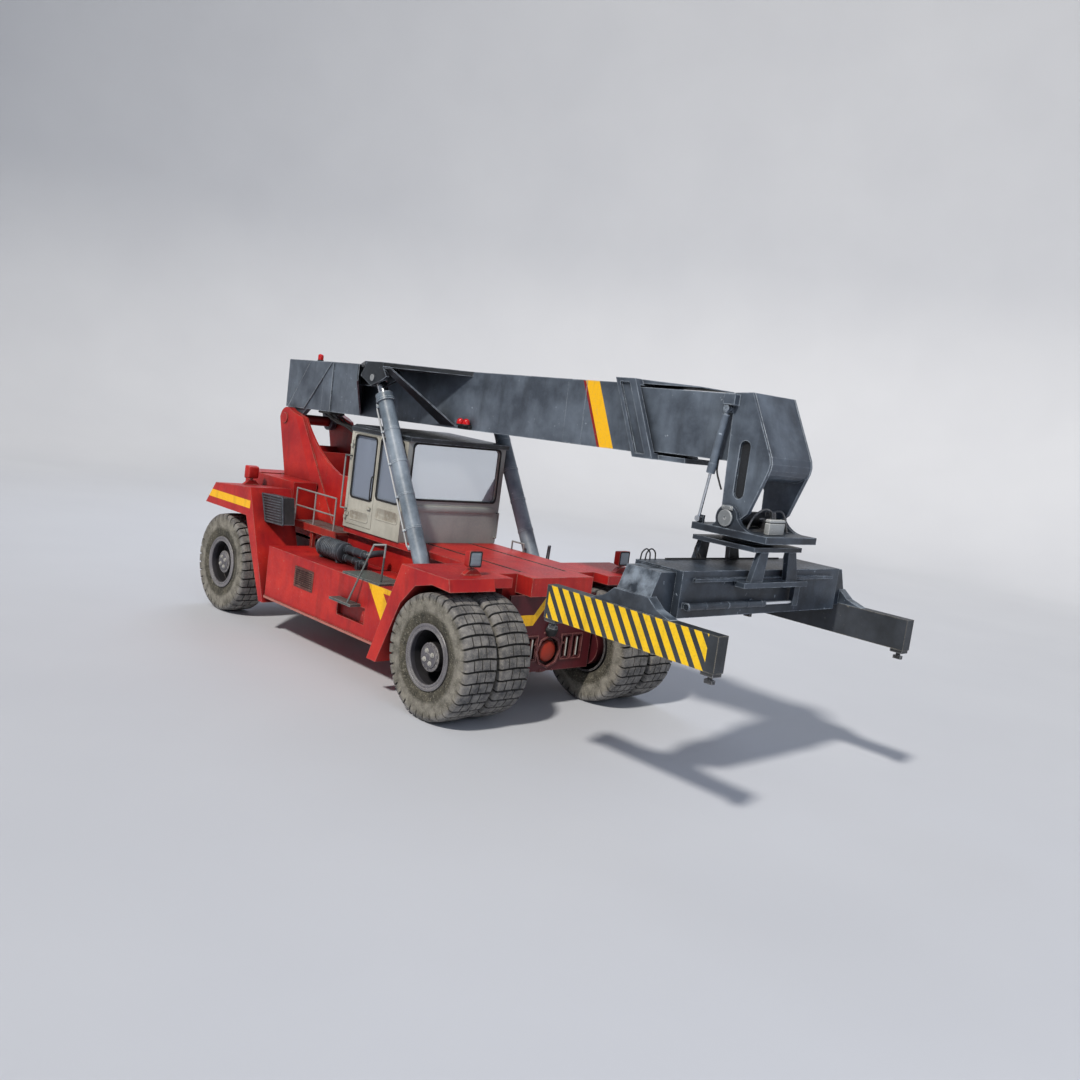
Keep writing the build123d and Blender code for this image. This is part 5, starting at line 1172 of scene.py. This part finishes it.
for y0, y1 in ((-1.5, -1.34), (-1.42, -1.25), (1.5, 1.34), (1.42, 1.25)):
    x = SPREADER_X - 0.3
    hoses.append(pipe([(x, y0, SPREADER_TOP), (x, y0 + (y1 - y0) * 0.1, SPREADER_TOP + 0.08),
                       (x, (y0 + y1) / 2, SPREADER_TOP + 0.12),
                       (x, y1 - (y1 - y0) * 0.1, SPREADER_TOP + 0.08), (x, y1, SPREADER_TOP)], 0.008, 8,
                      8))
hoses.append(pipe([(SPREADER_X - 0.28, -1.1 + 0.2 * k, SPREADER_TOP + 0.012) for k in range(12)], 0.01, 8,
                  2))
build("spreader_hoses", hoses, black_rubber, "spreader")
for index, y in enumerate((-0.36, -0.31)):
    top = np.array((SPREADER_X - 0.425, y, 2.90))
    end = np.array((SPREADER_X - 0.31, y - 0.12, 2.672))
    hose = build(f"shift_hose_{index}", [pipe([top, top + (-0.02, -0.01, -0.08),
                                               (top + end) / 2 + (-0.05, 0, -0.02),
                                               end + (-0.01, 0, 0.04), end], 0.009, 8, 8)], black_rubber,
                 None)
    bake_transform(hose)
shift_x = SPREADER_X + 0.418
shift_rod = lathe([(0, 0.0185), (0.52, 0.0185), (0.535, 0.017)], (shift_x, -0.098, 2.31), Y_AXIS, 24)
ground_steel, tree, shader, place = new_finish("ground_steel", Metallic=0.7, Roughness=0.3)
rings = add(tree, "TexNoise", add(tree, "Mapping", place, Scale=(1, 0.2, 1)), 30.0, 4.0, 0.6)
feed(tree, shader.inputs["Base Color"], add(tree, "Mix", rings, "#e4e8ec", "#f4f7fa", data_type="RGBA"))
build("shift_rod_sleeve", [shift_rod], ground_steel, "rotator")
glands = [lathe([(0, 0.030), (0.01, 0.042), (0.06, 0.042), (0.066, 0.036), (0.08, 0.03), (0.08, 0.021),
                 (0.01, 0.021)],
                (shift_x, -0.18, 2.31), Y_AXIS, 28, ring=True),
          lathe([(0, 0.03), (0.01, 0.044), (0.05, 0.044), (0.06, 0.038)], (shift_x, -1.5, 2.31), Y_AXIS,
                28)]
glands += [lathe([(0, 0.037), (0, 0.042), (0.02, 0.042), (0.02, 0.037)], (shift_x, y, 2.31), Y_AXIS, 28,
                 ring=True)
           for y in (-1.2, -0.8, -0.45)]
build("shift_cylinder_glands", glands, spreader_grey, "spreader")


# ---------------------------------------------------------------- lift cylinder fittings
# Each lift cylinder has a bolted gland, a welded port block above the deck, and a rigid pale
# pipe clipped along its outer rear side that feeds the rod end.
pipe_enamel = enamel("pale_pipe_enamel", "#a9adb0", "#c3c6c8", bare="#d5d7d8", grime_and_shade="#4a4b4c",
                     roughness=0.4)
LIFT_BASE = np.array((FRONT_AXLE - 1.03, 0, 1.0))
lift_axis = (LIFT_EYE - LIFT_BASE) / np.linalg.norm(LIFT_EYE - LIFT_BASE)
LIFT_LENGTH = np.linalg.norm(LIFT_EYE - LIFT_BASE)
rear_of = np.array((-lift_axis[2], 0, lift_axis[0]))
for hand, word in ((-1, "right"), (1, "left")):
    base = LIFT_BASE + (0, hand * 1.09, 0)
    gland_at = LIFT_LENGTH - 0.265
    beside = (rear_of + (0, hand, 0)) / 2 ** 0.5
    line = [base + lift_axis * 1.15 + beside * 0.12, base + lift_axis * 1.18 + beside * 0.15]
    line += [base + lift_axis * d + beside * 0.15 for d in np.linspace(1.3, gland_at - 0.32, 8)]
    line += [base + lift_axis * (gland_at - 0.2) + beside * 0.148,
             base + lift_axis * (gland_at - 0.14) + beside * 0.125]
    build(f"lift_pipe_{word}", [pipe(line, 0.014, 12, 4)], pipe_enamel, f"lift_barrel_{word}")
    fittings = []
    across_pipe = np.cross(lift_axis, beside)
    for d in (1.15, gland_at - 0.16):
        fittings.append(bevelled(0.07, 0.06, 0.05, 0.006, base + lift_axis * d + beside * 0.1, lift_axis,
                                 -across_pipe))
    for d in np.linspace(1.4, gland_at - 0.6, 4):
        fittings.append(lathe([(0, 0.117), (0, 0.123), (0.035, 0.123), (0.035, 0.117)],
                              base + lift_axis * d, lift_axis, 40,
                              ring=True))
        fittings.append(bevelled(0.035, 0.05, 0.05, 0.005,
                                 base + lift_axis * (d + 0.0175) + beside * 0.115, lift_axis,
                                 -across_pipe))
    fittings += bolts(around(base + lift_axis * (gland_at - 0.002), lift_axis, 0.106, 12), lift_axis,
                      0.01)
    fittings.append(lathe([(-0.125, 0.134), (-0.125, 0.141), (-0.08, 0.141), (-0.08, 0.134)],
                          base + lift_axis * gland_at,
                          lift_axis, 48, ring=True))
    build(f"lift_fittings_{word}", fittings, barrel_enamel, f"lift_barrel_{word}")


# ---------------------------------------------------------------- boom hoses
# Four steel-braided hoses drop from the boom's underside behind its pivot, hang in a loop
# behind the cab and enter its rear wall through a block.
hose_top = np.array((-4.28, 0, BOOM_PIVOT[2] + BOOM_FLOOR + 0.02))
hose_end = np.array((CAB_BACK + 0.01, 0, 2.22))
for index in range(4):
    y = -0.38 + 0.07 * index
    shift = np.array((0.05 * index, y, 0))
    route = [hose_top + shift, hose_top + shift + (0.1, 0, -0.05), np.array((-3.86, y, 3.455)),
             np.array((-3.45, y, 3.385)),
             np.array((-3.05, y, 3.20)), np.array((-2.86, y, 2.84)), np.array((-2.84, y, 2.45)),
             np.array((-2.76, y, 2.22)),
             np.array((-2.60, y, 2.17)), hose_end + (0, y, 0)]
    hose = build(f"boom_hose_{index}", [pipe(route, 0.014, 10, 8)], black_rubber, None)
    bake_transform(hose)
build("hose_block_boom", [bevelled(0.30, 0.36, 0.035, 0.006, hose_top + (0.09, -0.275, 0), Y_AXIS,
                                   X_AXIS)],
      black_rubber, "boom")
cab_block = bevelled(0.34, 0.1, 0.03, 0.006, (CAB_BACK, -0.275, 2.22), -Y_AXIS, Z_AXIS)
build("hose_block_cab", [cab_block] + bolts([(CAB_BACK - 0.03, y, 2.22) for y in (-0.42, -0.13)], -X_AXIS,
                                            0.009),
      black_rubber, "chassis")


# ---------------------------------------------------------------- radiator grille and tail lamps
# The radiator looks out of the counterweight's rear face through pressed slats in a bolted
# angle-iron frame. A moulded lamp, half red and half amber, is screwed on at each side of it.
HITCH_REACH = 0.15
REAR_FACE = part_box("counterweight")[0][0] + HITCH_REACH
grille_middle = np.array((REAR_FACE, 0, 2.05))
grille = [frame_ring(1.16, 0.56, 0.03, 0.035, 0.016, grille_middle, -Y_AXIS, Z_AXIS)]
grille += bolts([grille_middle + (-0.012, y, z) for y in (-0.58, 0, 0.58) for z in (-0.28, 0.28)],
                -X_AXIS, 0.008)
slat_lean = np.array((-sin(0.6), 0, cos(0.6)))
for rise in np.linspace(-0.235, 0.235, 11):
    grille.append(bevelled(1.12, 0.032, 0.005, 0.001, grille_middle + (0.002, 0, rise), -Y_AXIS,
                           slat_lean))
build("radiator_grille", grille, drum_enamel, "chassis")
core = bevelled(1.13, 0.53, 0.003, 0.001, grille_middle, -Y_AXIS, Z_AXIS)
build("radiator_core", [core], black_rubber, "chassis")
amber_lens = new_finish("amber_acrylic_lens", Base_Color="#d87a12", Roughness=0.12, IOR=1.49)[0]
lamp_backs, lamp_domes = [], {"red": [], "amber": []}
for hand in (-1, 1):
    middle = grille_middle + (0, hand * 0.8, 0.06)
    lamp_backs.append(bevelled(0.24, 0.12, 0.022, 0.006, middle, -Y_AXIS, Z_AXIS))
    for colour, shift in (("red", 0.055), ("amber", -0.055)):
        lamp_domes[colour].append(slab(rounded(0.1, 0.1, 0.016, 5), middle - (0.02, hand * shift, 0),
                                       -Y_AXIS, Z_AXIS,
                                       [(0, 0), (0.012, 0), (0.018, 0.006), (0.021, 0.02)]))
build("tail_lamp_backs", lamp_backs, black_rubber, "chassis")
build("tail_lamp_red_lenses", lamp_domes["red"], red_lens, "chassis")
build("tail_lamp_amber_lenses", lamp_domes["amber"], amber_lens, "chassis")
